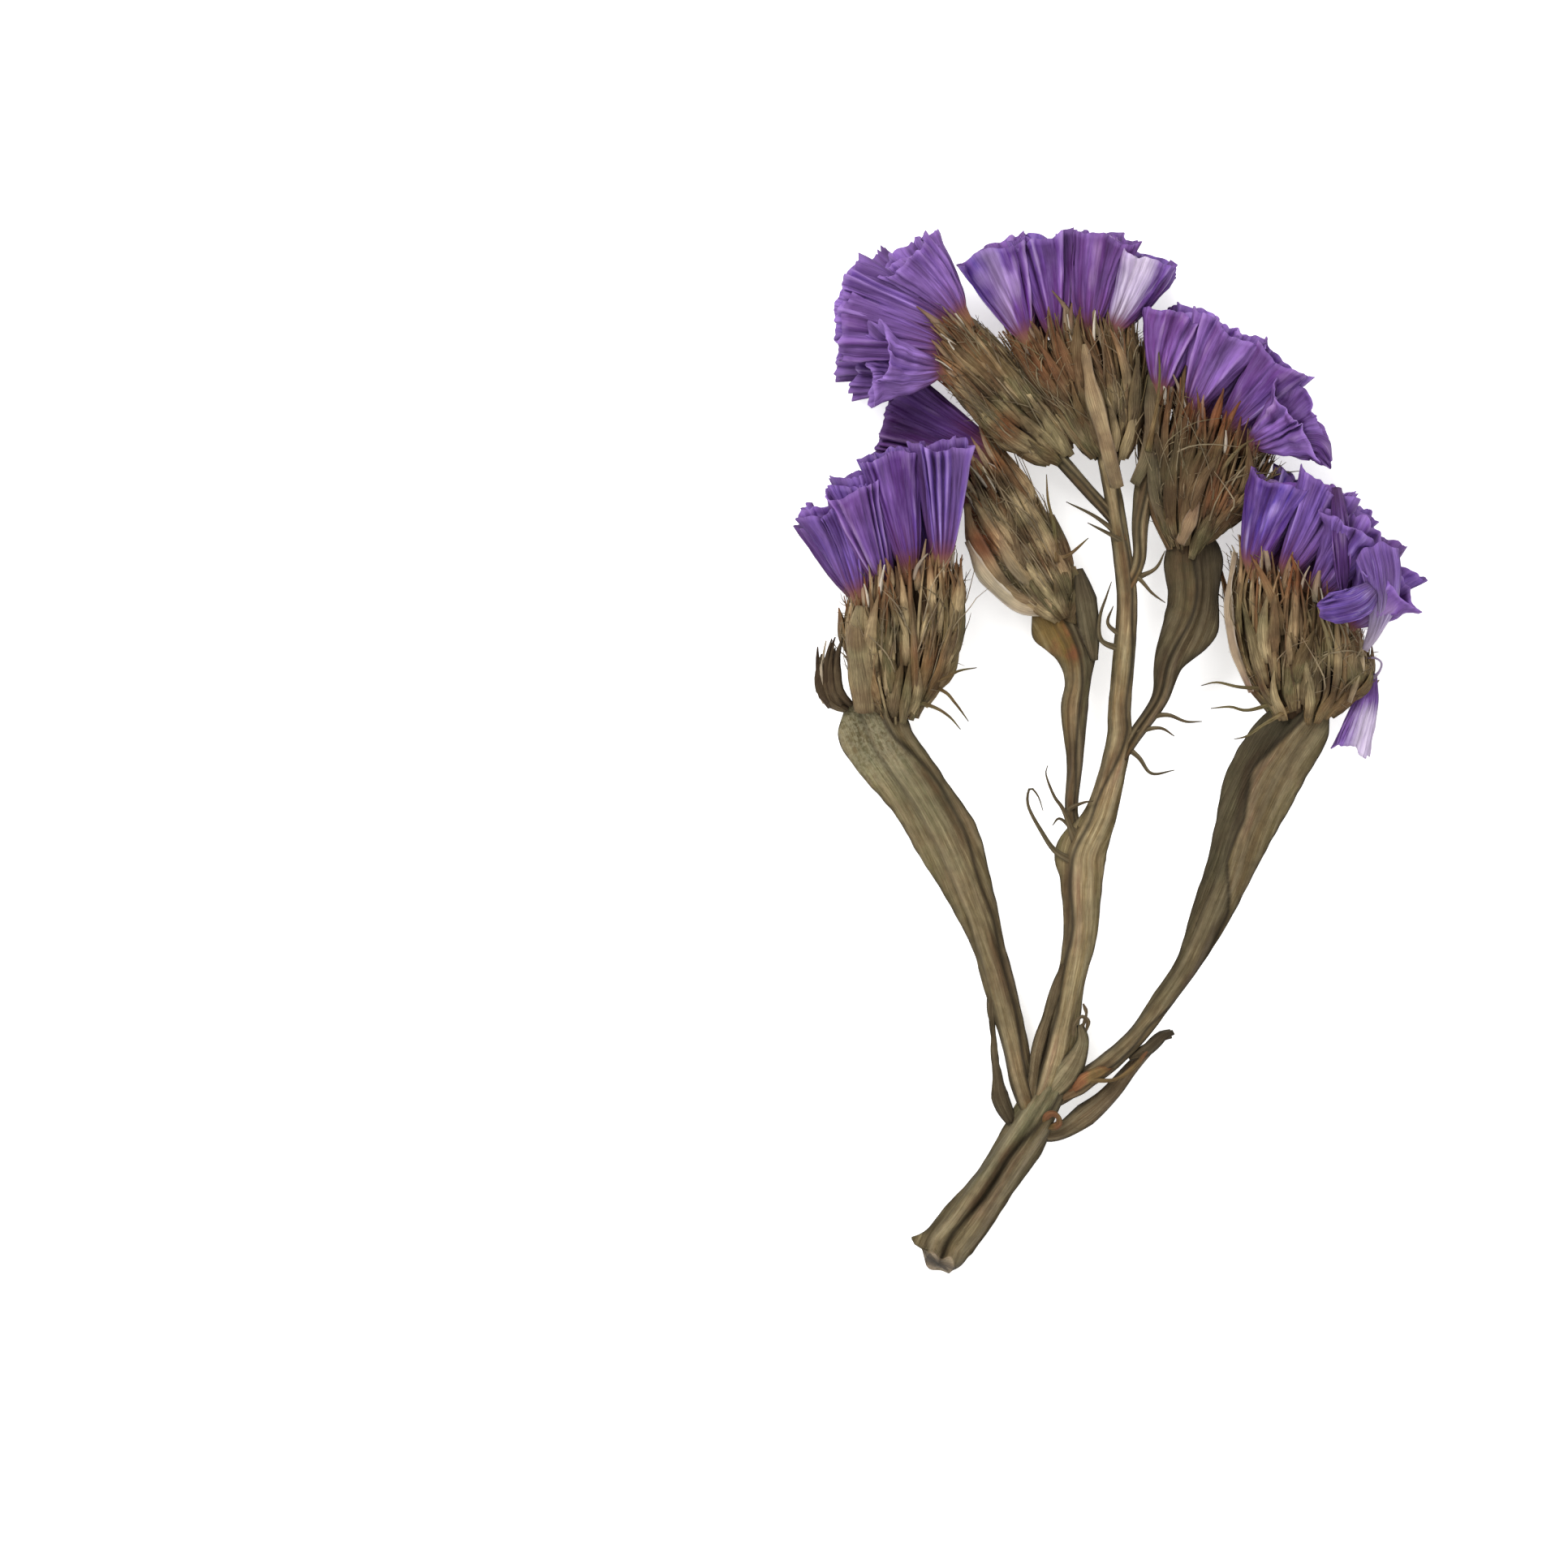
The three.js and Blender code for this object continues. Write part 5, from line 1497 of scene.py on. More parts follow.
# Loops and knots of dried wing.
STEM_KNOTS = (
    Knot(((-4.0, -23.1, 2.2), (-3.95, -22.6, 2.6), (-3.55, -22.4, 2.8), (-3.2, -22.65, 2.7),
        (-3.2, -23.05, 2.4), (-3.6, -23.25, 2.2), (-4.1, -23.1, 2.0)), rust=0.9, thick=0.24),
    Knot(((-2.3, -17.6, 2.9), (-2.2, -16.9, 3.1), (-1.8, -16.4, 3.2), (-1.4, -16.7, 3.1),
        (-1.5, -17.3, 2.9)), rust=0, thick=0.15),
    Knot(((-1.7, -17.0, 3.0), (-1.5, -16.2, 3.2), (-1.7, -15.6, 3.3)), rust=0, thick=0.12),
    Knot(((-2.5, -21.1, 2.2), (-1.2, -20.4, 2.8), (0.3, -20.3, 2.5), (1.6, -19.4, 2.4),
        (2.5, -18.2, 2.5)), rust=0.8, thick=0.17),
)

# Curled wing tips on the stem. Columns: x, y, z.
STEM_CURLS = (
    (
        (-2.2, -6.9, 3.2), (-3.4, -6.2, 3.4), (-4.2, -5.1, 3.6), (-5.1, -3.4, 3.9),
        (-5.0, -2.3, 4.0), (-4.5, -2.8, 4.2), (-4.2, -3.7, 4.3),
    ),
    ((-2.2, -5.6, 3.2), (-2.9, -3.7, 3.6), (-3.5, -2.8, 3.8), (-4.0, -1.5, 4.0), (-3.9, -0.9, 4.1)),
    ((-2.4, -4.2, 2.9), (-2.5, -3.6, 3.2), (-1.7, -3.2, 3.9), (-1.1, -3.1, 4.2)),
    ((-2.0, -5.2, 3.2), (-3.1, -4.2, 3.4), (-3.6, -4.6, 3.5)),
    ((0.8, 6.2, 3.9), (-0.6, 6.8, 4.1), (-0.7, 8.2, 4.3), (-0.3, 9.5, 4.5), (0.0, 10.4, 4.9)),
    ((0.8, 7.0, 4.0), (-0.2, 7.8, 4.4), (0.1, 8.9, 4.9)),
    ((0.6, 13.2, 4.4), (-1.0, 14.4, 4.9), (-2.8, 15.3, 5.2)),
    ((0.8, 12.8, 4.5), (-0.1, 13.3, 5.2), (-1.5, 14.0, 5.6)),
    ((0.9, 11.3, 4.3), (1.8, 10.5, 4.6), (2.5, 9.7, 4.7), (3.3, 9.1, 4.9)),
    ((1.4, 10.6, 4.3), (2.7, 11.2, 4.5), (3.3, 12.3, 4.9)),
    ((2.2, 2.1, 3.7), (3.5, 2.2, 3.9), (4.6, 1.8, 4.0), (5.6, 1.8, 4.1)),
    ((1.6, 1.2, 3.7), (3.0, 1.4, 4.0), (3.9, 0.9, 4.1)),
    ((0.7, 0.4, 3.6), (1.7, -0.4, 3.8), (2.5, -1.4, 3.9), (3.9, -1.2, 4.1)),
)


# The radii of a stem's curled tips along them, and of a knot as shares of its own.
STEM_TIP_RADII = (0.3, 0.18, 0.13, 0.09, 0.03)
KNOT_RADII = (0.8, 1.1, 0.75, 1.2, 0.5)

# The rounded ridges on the core: how far across it, as a share of its half width, and how high.
CROWN_ACROSS, CROWN_HEIGHT = (0, 0.25, 0.5, 0.8, 1.05, 1.35), (0, 0.45, 1, 0.86, 0.55, 0)


@dataclass
class Stem:
    """The cut base stem with its winged branches, blades and curled tips."""

    seed: int
    columns: int = 92
    ring_step: float = 0.23
    wing: float = 0.4
    edge: float = 0.1
    edge_line: float = 0.13
    blade: float = 0.12

    def section(
        self, around: Array, values: Array, distance: Array, share: Array, plan: StemPlan,
        phase: Array,
    ) -> tuple[Array, Array, Marks]:
        """Shapes the cross-section: a ridged core with a thin creased wing on each side.

        Args:
            around: Share of a turn, from the right edge over the top to the left and back below.
            values: The stem's numbers at each vertex, without the place.
            distance: How far along the stem each vertex is, in millimetres.
            share: How far along it is, from 0 to 1.
            plan: The stretch.
            phase: Where the waves start.

        Returns:
            The places across and up, and the masks.
        """
        left, right, core, crest, groove, left_lift, right_lift = values.T
        ragged = (
            1
            + 0.014 * ripple(distance, 0.75, phase[0])
            + 0.012 * ripple(distance, 0.23, phase[1]) * ripple(distance, 1.3)
            + 0.022 * ripple(distance, 1.9, phase[2])
        )
        top = around < 0.5
        swept = np.where(top, 2 * around, 2 - 2 * around)
        across = (right - (left + right) * swept) * ragged
        on_right = across > 0
        reach = np.where(on_right, right, left) * ragged
        out = np.clip((np.abs(across) - core) / np.maximum(reach - core, 0.05), 0, 1)
        flutter = plan.wave * ripple(distance, np.where(on_right, 0.62, 0.75), phase[3])
        crinkle = 0.05 * np.sin(distance / 0.4 + 2.6 * across + TURN * phase[4])
        crinkle *= np.sin(distance / 1.1 + 1.3 * across)
        lift = (np.where(on_right, right_lift, left_lift) + flutter + crinkle) * smooth(out)
        half = 0.5 * (self.wing + (self.edge - self.wing) * out**0.7)
        inward = np.abs(across) / core
        crown = np.interp(inward, CROWN_ACROSS, CROWN_HEIGHT)
        ridge = np.where(inward < 0.5, groove + (crest - groove) * crown, crest * crown)
        ridge = np.maximum(ridge, np.where(inward < 0.25, groove, 0.0))
        crease_at = np.interp(share, np.linspace(0, 1, len(plan.crease)), plan.crease)
        off = across - (crease_at + 0.07 * ripple(distance, 0.9, phase[5]))
        crease = bell(off, 0.08 + 0.1 * core)
        veins = 0.02 * wave(across / 0.43 + 0.4 * ripple(distance, 3.1), 1, phase[4])
        veins += 0.012 * wave(across / 0.29 + 0.5 * ripple(distance, 4.3), 1, phase[2])
        relief = veins * (1 - out**4) - 0.2 * core * crease + 0.12 * bell(off - 0.3, 0.16)
        upper = np.maximum(ridge, lift + half) + relief
        belly = -crest * np.sqrt(np.clip(1 - (0.8 * inward) ** 2, 0, 1))
        lower = np.where(inward < 1.1, np.minimum(belly, lift - half), lift - half)
        up = np.where(top, upper, lower)
        up = np.where((swept < 1e-6) | (swept > 1 - 1e-6), lift, up)
        side = smooth(0.5 + off / 0.5)
        warm, dark = (
            (1 - side) * (left_start + (left_end - left_start) * share)
            + side * (right_start + (right_end - right_start) * share)
            for left_start, left_end, right_start, right_end in (plan.warm, plan.dark)
        )
        # Painted shade on the rounded sides, which turn away from the light.
        turned_away = smooth((np.abs(across) / reach - 0.45) / 0.55)
        folded = smooth(0.5 + 0.9 * ripple(distance, 1.7, phase[1]))
        cut = float(plan.cut) * (distance < 0.1)
        torn = plan.rusty * smooth((share - 0.6) / 0.1) * (1 - side) * smooth(1.3 - out)
        marks = {
            "edge": np.exp(-np.maximum(reach - np.abs(across), 0) / self.edge_line),
            # Painted shade: in the crease, where the core meets the left wing, and on the rounded
            # sides.
            "groove": np.clip(crease + 0.45 * bell(inward - 1.2, 0.2) * ~on_right, 0, 1) * top,
            "warm": warm,
            "dark": (dark + 0.36 * turned_away * smooth(2.2 - reach)) * (1 - cut),
            "specks": plan.specks * smooth((share - 0.76) / 0.16) * (1 - side),
            "cut": cut,
            "rusty": torn + plan.joint * smooth(1 - distance / 1.8),
            "rosy": bell(off - 0.4, 0.22) * folded * top,
            "olive": smooth((np.abs(across) / reach - 0.4) / 0.5),
            "shadow": bell(off + 0.3, 0.26) * folded * top,
        }
        return across, up, marks

    def add_stem(self, fused: Fused, plan: StemPlan, chance: Draws) -> None:
        """Adds one winged stretch.

        Args:
            fused: What it is added to.
            plan: The stretch.
            chance: The seeded draws of its waves.
        """
        rows = [list(row) for row in plan.rows]
        if plan.tongue:
            last, before = np.array(rows[-1]), np.array(rows[-2])
            last[:3] += unit(last[:3] - before[:3]) * plan.tongue
            last[3:5] = np.maximum(0.55 * last[3:5], last[5] + 0.05)
            last[8:] = 0
            rows.append(list(last))
        length = length_of(rows)
        rod = Lattice.rod(self.columns, max(int(length / self.ring_step), 8))
        shares, ring = np.unique(np.round(rod.along, 6), return_inverse=True)
        values = spline(rows, shares)
        ways = unit(np.gradient(values[:, :3], axis=0))
        level, upward = sides(ways)
        share = shares[ring]
        distance = length * share
        phase = chance.uniform(0, 1, 6)
        across, up, marks = self.section(rod.around, values[ring, 3:], distance, share, plan, phase)
        places = values[ring, :3] + level[ring] * (across * rod.radius)[:, None]
        places += upward[ring] * (up * rod.radius)[:, None]
        if plan.cut:
            slant = 0.42 * (up * rod.radius + 1.3) + 0.12 * np.sin(4 * across)
            places += ways[ring] * (slant * np.clip(1 - distance / 2.5, 0, 1))[:, None]
            # Painted shade in the hollow at the middle of the cut end.
            marks["groove"] = np.where((rod.radius < 0.5) & (share < 0.5), 0.9, marks["groove"])
        fused.add(rod, places, np.stack([across, distance], axis=1), marks)

    def add_blades(self, sheets: Fused) -> None:
        """Adds the thin blades that leave the stem.

        Args:
            sheets: What they are added to.
        """
        strip = Lattice.strip(10, 36)
        for number, blade in enumerate(STEM_BLADES):
            sheet = blade.sheet(arch=0.55, twist=0.5 - 0.3 * (number % 3), ruffle=0.18)
            warm, rust, length = min(blade.warm, 1), blade.warm - 1, length_of(blade.rows)
            self.add_plain(sheets, strip, sheet.laid(strip), length, warm, blade.dark, rust)

    def add_curls(self, threads: Fused) -> None:
        """Adds the curled wing tips, the loops and the knots.

        Args:
            threads: What they are added to.
        """
        rod = Lattice.rod(6, 26)
        for rows in STEM_CURLS:
            places = laid_rod(rod, rows, STEM_TIP_RADII, TIP_FLAT)
            self.add_plain(threads, rod, places, length_of(rows), 0.5, 0.55, 0.0)
        for knot in STEM_KNOTS:
            radii = [part * knot.thick for part in KNOT_RADII]
            places = laid_rod(rod, knot.rows, radii, TIP_FLAT)
            dark = 0.5 - 0.3 * knot.rust
            self.add_plain(threads, rod, places, length_of(knot.rows), 0.8, dark, knot.rust)

    @staticmethod
    def add_plain(
        fused: Fused, lattice: Lattice, places: Array, length: float, warm: float, dark: float,
        rust: float,
    ) -> None:
        """Adds one blade or tip with plain masks.

        Args:
            fused: What it is added to.
            lattice: Its template.
            places: The places of its vertices.
            length: Its length.
            warm: How brown it is.
            dark: How dark it is.
            rust: How orange it is.
        """
        across = np.cos(TURN * lattice.around) if lattice.rolled else lattice.around
        edge = smooth((np.abs(across) - 0.6) / 0.4) * (0.4 if lattice.rolled else 1.0)
        marks = dict(edge=edge, groove=0.0, warm=warm, dark=dark + 0.3 * lattice.along, specks=0.0)
        marks.update(cut=0.3 * max(rust, 0.0), rusty=max(rust, 0.0))
        marks.update(rosy=0.5 * smooth(1.2 - np.abs(across)), olive=0.3, shadow=0.0)
        fused.add(lattice, places, np.stack([across, length * lattice.along], axis=1), marks)

    def build(self, wood: Material) -> Piece:
        """Builds the piece.

        Args:
            wood: Its material.

        Returns:
            The piece.
        """
        chance = np.random.default_rng(self.seed)
        solids, sheets = Fused(), Fused()
        for plan in STEMS:
            self.add_stem(solids, plan, chance)
        self.add_curls(solids)
        self.add_blades(sheets)
        name = "stem_and_wings"
        parts = [solids.piece(name, wood), sheets.piece("blades", wood, self.blade)]
        return dressed(name, parts, "stem")


def linear(part: int) -> float:
    """Turns a part of a screen colour, of 0 to 255, into a linear one."""
    return ((part / 255 + 0.055) / 1.055) ** 2.4 if part > 10 else part / 3294.6


def colour(red: int, green: int, blue: int) -> tuple[float, float, float, float]:
    """Turns a screen colour into a linear one."""
    return linear(red), linear(green), linear(blue), 1.0


class Wiring:
    """Adds nodes to a node tree and links them."""

    def __init__(self, tree: Nodes) -> None:
        """Takes the tree that it works on."""
        self.tree = tree

    def node(
        self, kind: str, feeds: dict[int | str, object] | None = None, **settings: object
    ) -> bpy.types.Node:
        """Adds a node.

        Args:
            kind: Its type.
            feeds: What goes into its inputs, each a socket, a number or a colour.
            **settings: Its settings.

        Returns:
            The node.
        """
        node = self.tree.nodes.new(kind)
        for name, value in settings.items():
            setattr(node, name, value)
        for name, value in (feeds or {}).items():
            self.feed(node.inputs[name], value)
        return node

    def feed(self, socket: Socket, value: object) -> None:
        """Links a socket to another, or sets it.

        Args:
            socket: The socket.
            value: The other socket, or a number or a colour.
        """
        if isinstance(value, Socket):
            self.tree.links.new(value, socket)
        else:
            socket.default_value = value

    def mask(self, name: str) -> Socket:
        """Reads one of the piece's masks."""
        return self.node("ShaderNodeAttribute", attribute_name=name).outputs["Fac"]

    def sums(self, operation: str, first: object, second: object) -> Socket:
        """Adds a sum of two values, held between 0 and 1."""
        feeds = {0: first, 1: second}
        return self.node("ShaderNodeMath", feeds, operation=operation, use_clamp=True).outputs[0]

    def mix(self, amount: object, first: object, second: object) -> Socket:
        """Mixes two colours, by an amount of the second."""
        feeds = {"Factor": amount, 6: first, 7: second}
        return self.node("ShaderNodeMix", feeds, data_type="RGBA").outputs[2]

    def ramp(self, value: object, stops: Sequence[tuple[float, Row]]) -> Socket:
        """Turns a value into a colour by stops.

        Args:
            value: The value.
            stops: The stops, each with its position and colour.

        Returns:
            The colour.
        """
        node = self.node("ShaderNodeValToRGB", {"Fac": value})
        elements = node.color_ramp.elements
        while len(elements) < len(stops):
            elements.new(0.5)
        for element, (position, shade) in zip(elements, stops):
            element.position = position
            element.color = shade
        return node.outputs["Color"]

    def group(self, tree: Nodes, **feeds: object) -> Socket:
        """Places a node group with its values, and gives its mask."""
        return self.node("ShaderNodeGroup", feeds, node_tree=tree).outputs["Mask"]


class Effect(Wiring):
    """A node group that puts out one mask, made from a noise."""

    def __init__(self, name: str, numbers: Sequence[str], **noise: float) -> None:
        """Starts the group, which works on a vector.

        Args:
            name: The group's name.
            numbers: The names of the numbers that it takes.
            **noise: The noise's own values.
        """
        super().__init__(bpy.data.node_groups.new(name, "ShaderNodeTree"))
        sockets = self.tree.interface
        sockets.new_socket(name="Vector", in_out="INPUT", socket_type="NodeSocketVector")
        for number in numbers:
            sockets.new_socket(name=number, in_out="INPUT", socket_type="NodeSocketFloat")
        sockets.new_socket(name="Mask", in_out="OUTPUT", socket_type="NodeSocketFloat")
        self.entry = self.node("NodeGroupInput").outputs
        self.noise = self.node("ShaderNodeTexNoise", noise)

    def put_out(self) -> Nodes:
        """Spreads the noise round a half by the contrast, held between 0 and 1, as the mask.

        Returns:
            The group.
        """
        feeds = {0: self.noise.outputs["Fac"], 1: 0.5}
        centred = self.node("ShaderNodeMath", feeds, operation="SUBTRACT").outputs[0]
        feeds = {0: centred, 1: self.entry["Contrast"], 2: 0.5}
        mask = self.node("ShaderNodeMath", feeds, operation="MULTIPLY_ADD", use_clamp=True)
        self.node("NodeGroupOutput", {"Mask": mask.outputs[0]})
        return self.tree


def fibre_effect() -> Nodes:
    """Makes the streaks of fibres and veins that follow a piece's flat pattern.

    Returns:
        The node group.
    """
    numbers = ("Across", "Along", "Contrast")
    effect = Effect("fibres", numbers, Scale=1, Detail=4, Roughness=0.6)
    feeds = {0: effect.entry["Across"], 1: effect.entry["Along"]}
    scale = effect.node("ShaderNodeCombineXYZ", feeds)
    feeds = {0: effect.entry["Vector"], 1: scale.outputs[0]}
    stretched = effect.node("ShaderNodeVectorMath", feeds, operation="MULTIPLY")
    effect.feed(effect.noise.inputs["Vector"], stretched.outputs[0])
    return effect.put_out()


def mottle_effect() -> Nodes:
    """Makes the soft blotches of dried plant tissue.

    Returns:
        The node group.
    """
    effect = Effect("mottle", ("Scale", "Contrast"), Detail=3, Roughness=0.55)
    for name in ("Scale", "Vector"):
        effect.feed(effect.noise.inputs[name], effect.entry[name])
    return effect.put_out()


@dataclass(frozen=True)
class Effects:
    """The node groups that the finishes share."""

    fibres: Nodes
    mottle: Nodes


class Coat(Wiring):
    """The nodes of one material, and the colour that its layers build up."""

    def __init__(self, name: str, effects: Effects) -> None:
        """Starts the material.

        Args:
            name: Its name.
            effects: The node groups that it may use.
        """
        self.material = bpy.data.materials.new(name)
        self.material.use_nodes = True
        self.material.node_tree.nodes.clear()
        super().__init__(self.material.node_tree)
        self.effects = effects
        self.pattern = self.node("ShaderNodeUVMap", uv_map="pattern").outputs["UV"]
        self.place = self.node("ShaderNodeTexCoord").outputs["Object"]
        self.base: object = (0.0, 0.0, 0.0, 1.0)

    def fibres(self, across: float, along: float, contrast: float) -> Socket:
        """Places streaks, by how close and short they are and how sharp."""
        scales = {"Across": across, "Along": along, "Contrast": contrast}
        return self.group(self.effects.fibres, Vector=self.pattern, **scales)

    def mottle(self, scale: float, contrast: float) -> Socket:
        """Places blotches, by how close they lie and how sharp they are."""
        return self.group(self.effects.mottle, Vector=self.place, Scale=scale, Contrast=contrast)

    def lay(self, shade: Shade, amount: float, where: Socket) -> None:
        """Lays a colour over the base, by an amount, where a mask is."""
        self.base = self.mix(self.sums("MULTIPLY", where, amount), self.base, colour(*shade))

    def rise(self, value: Socket, start: float, end: float) -> Socket:
        """Makes a mask that rises with a value, between a start and an end."""
        return self.ramp(value, ((start, (0, 0, 0, 1)), (end, (1, 1, 1, 1))))

    def fall(self, value: Socket, start: float, end: float) -> Socket:
        """Makes a mask that falls with a value, between a start and an end."""
        return self.ramp(value, ((start, (1, 1, 1, 1)), (end, (0, 0, 0, 1))))


@dataclass(frozen=True)
class Finish:
    """What every finish shares. Its relief is in millimetres."""

    name: str
    roughness: float
    relief: float
    bump: float = 0.8
    specular: float = 0.25
    through_light: float = 0.0

    def paint(self, coat: Coat) -> Socket:
        """Paints the coat, and gives the height of its relief."""
        raise NotImplementedError

    def make(self, effects: Effects) -> Material:
        """Makes the material.

        Args:
            effects: The node groups that it may use.

        Returns:
            The material.
        """
        coat = Coat(self.name, effects)
        height = self.paint(coat)
        feeds = {"Strength": self.bump, "Distance": self.relief * MM, "Height": height}
        normal = coat.node("ShaderNodeBump", feeds).outputs["Normal"]
        feeds = {"Base Color": coat.base, "Roughness": self.roughness, "Normal": normal}
        shader = coat.node("ShaderNodeBsdfPrincipled", feeds)
        shader.inputs["Specular IOR Level"].default_value = self.specular
        surface = shader.outputs[0]
        if self.through_light:
            glow = coat.node("ShaderNodeBsdfTranslucent", {"Color": coat.base}).outputs[0]
            feeds = {0: self.through_light, 1: surface, 2: glow}
            surface = coat.node("ShaderNodeMixShader", feeds).outputs[0]
        coat.node("ShaderNodeOutputMaterial", {"Surface": surface})
        return coat.material


@dataclass(frozen=True)
class PaperFinish(Finish):
    """The dry violet paper of the calyces."""

    # Each ramp runs from painted shade in the fold valleys to painted highlight on the ridges; warm
    # is red-violet, cool blue-violet.
    cool: tuple[Shade, ...] = ((30, 8, 70), (72, 42, 146), (106, 78, 192), (208, 184, 248))
    warm: tuple[Shade, ...] = ((54, 6, 60), (114, 38, 136), (154, 78, 180), (234, 188, 246))
    steps: tuple[float, ...] = (0.0, 0.38, 0.72, 1.0)
    tube: Shade = (160, 114, 82)
    tube_top: Shade = (134, 80, 92)
    # Also the colour of the painted highlights on the pale streaks and the rim.
    lilac: Shade = (184, 142, 228)
    faded: Shade = (234, 220, 240)
    # The dark of the painted shade, and of the dark streaks and blotches.
    deep: Shade = (54, 12, 68)
    # Veins, and painted shade near the throat.
    rib_and_throat_shade: Shade = (96, 40, 66)

    def paint(self, coat: Coat) -> Socket:
        """Paints it violet by tint, streaked, with a pale or brown foot.

        Its fold valleys and dents get painted shade and its ridges painted highlight, and the shade
        mask lays more painted shade.

        Args:
            coat: The coat.

        Returns:
            The height of its relief.
        """
        fold_shading, along = coat.mask("fold_shading"), coat.mask("along")
        cool, warm = (
            coat.ramp(fold_shading, [(step, colour(*shade)) for step, shade in zip(self.steps, shades)])
            for shades in (self.cool, self.warm)
        )
        coat.base = coat.mix(coat.mask("tint"), warm, cool)
        coat.lay(self.lilac, 0.42, coat.mask("light"))
        streaks = coat.fibres(across=60.0, along=1.6, contrast=3.4)
        coat.lay(self.deep, 0.55, streaks)
        # Pale streaks along the fibres, partly painted highlights.
        coat.lay(self.lilac, 0.42, coat.fibres(across=26.0, along=1.8, contrast=5.0))
        coat.lay(self.deep, 0.22, coat.mottle(scale=380.0, contrast=3.5))
        # Wide dark streaks, partly painted shade in the folds.
        coat.lay(self.deep, 0.42, coat.fibres(across=11.0, along=0.8, contrast=8.0))
        # A paler rim: the paper's own paler edge, partly painted highlight.
        coat.lay(self.lilac, 0.3, coat.rise(along, 0.94, 1.0))
        # Painted shade where the shade mask lies.
        coat.lay(self.deep, 0.75, coat.mask("shade"))
        pale = coat.sums("SUBTRACT", coat.mask("pale"), coat.sums("MULTIPLY", streaks, 0.45))
        coat.lay(self.faded, 0.95, pale)
        # Dark magenta-brown streaks low on the limb: partly its veins, partly painted shade near
        # the throat.
        ribs_and_throat_shade = coat.sums("MULTIPLY", coat.fall(along, 0.2, 0.55), streaks)
        coat.lay(self.rib_and_throat_shade, 0.9, ribs_and_throat_shade)
        coat.lay(self.tube_top, 1.0, coat.fall(along, 0.16, 0.3))
        coat.lay(self.tube, 1.0, coat.fall(along, 0.08, 0.2))
        return streaks


@dataclass(frozen=True)
class BractFinish(Finish):
    """The olive-brown bracts with their straw-coloured edges and hairs."""

    brown: Shade = (66, 46, 28)
    olive: Shade = (86, 72, 44)
    green: Shade = (72, 76, 38)
    straw: Shade = (226, 200, 152)
    edge: Shade = (172, 146, 100)
    orange: Shade = (150, 88, 50)
    pale: Shade = (234, 222, 204)
    # The dark of the shade between the bracts, painted deep in the tuft; also used for dark streaks
    # and blotches.
    gap_shade: Shade = (42, 27, 14)

    def paint(self, coat: Coat) -> Socket:
        """Paints it brown to green, streaked, blotched, rusty and dark in places.

        Bracts that catch the light get painted light, and deep ones painted shade.

        Args:
            coat: The coat.

        Returns:
            The height of its relief.
        """
        tints = zip((0.0, 0.5, 1.0), (self.brown, self.olive, self.green))
        coat.base = coat.ramp(coat.mask("tint"), [(at, colour(*shade)) for at, shade in tints])
        # Painted light: bracts that catch the light turn pale straw; blades and threads take their
        # own brightness from the same mask.
        coat.lay(self.straw, 0.85, coat.mask("bright"))
        streaks = coat.fibres(across=9.0, along=0.5, contrast=5.0)
        coat.lay(self.gap_shade, 0.52, streaks)
        coat.lay(self.straw, 0.26, coat.fibres(across=17.0, along=0.7, contrast=7.0))
        coat.lay(self.edge, 0.5, coat.rise(coat.mask("edge"), 0.5, 1.0))
        coat.lay(self.green, 0.42, coat.mottle(scale=260.0, contrast=7.0))
        coat.lay(self.orange, 0.2, coat.mottle(scale=310.0, contrast=8.0))
        coat.lay(self.orange, 0.75, coat.mask("warm"))
        coat.lay(self.gap_shade, 0.36, coat.mottle(scale=620.0, contrast=6.0))
        # Painted shade deep in the tuft and on its spine, on top of dark blades and dark stains.
        coat.lay(self.gap_shade, 0.75, coat.mask("deep"))
        coat.lay(self.pale, 0.85, coat.mask("cream"))
        return streaks


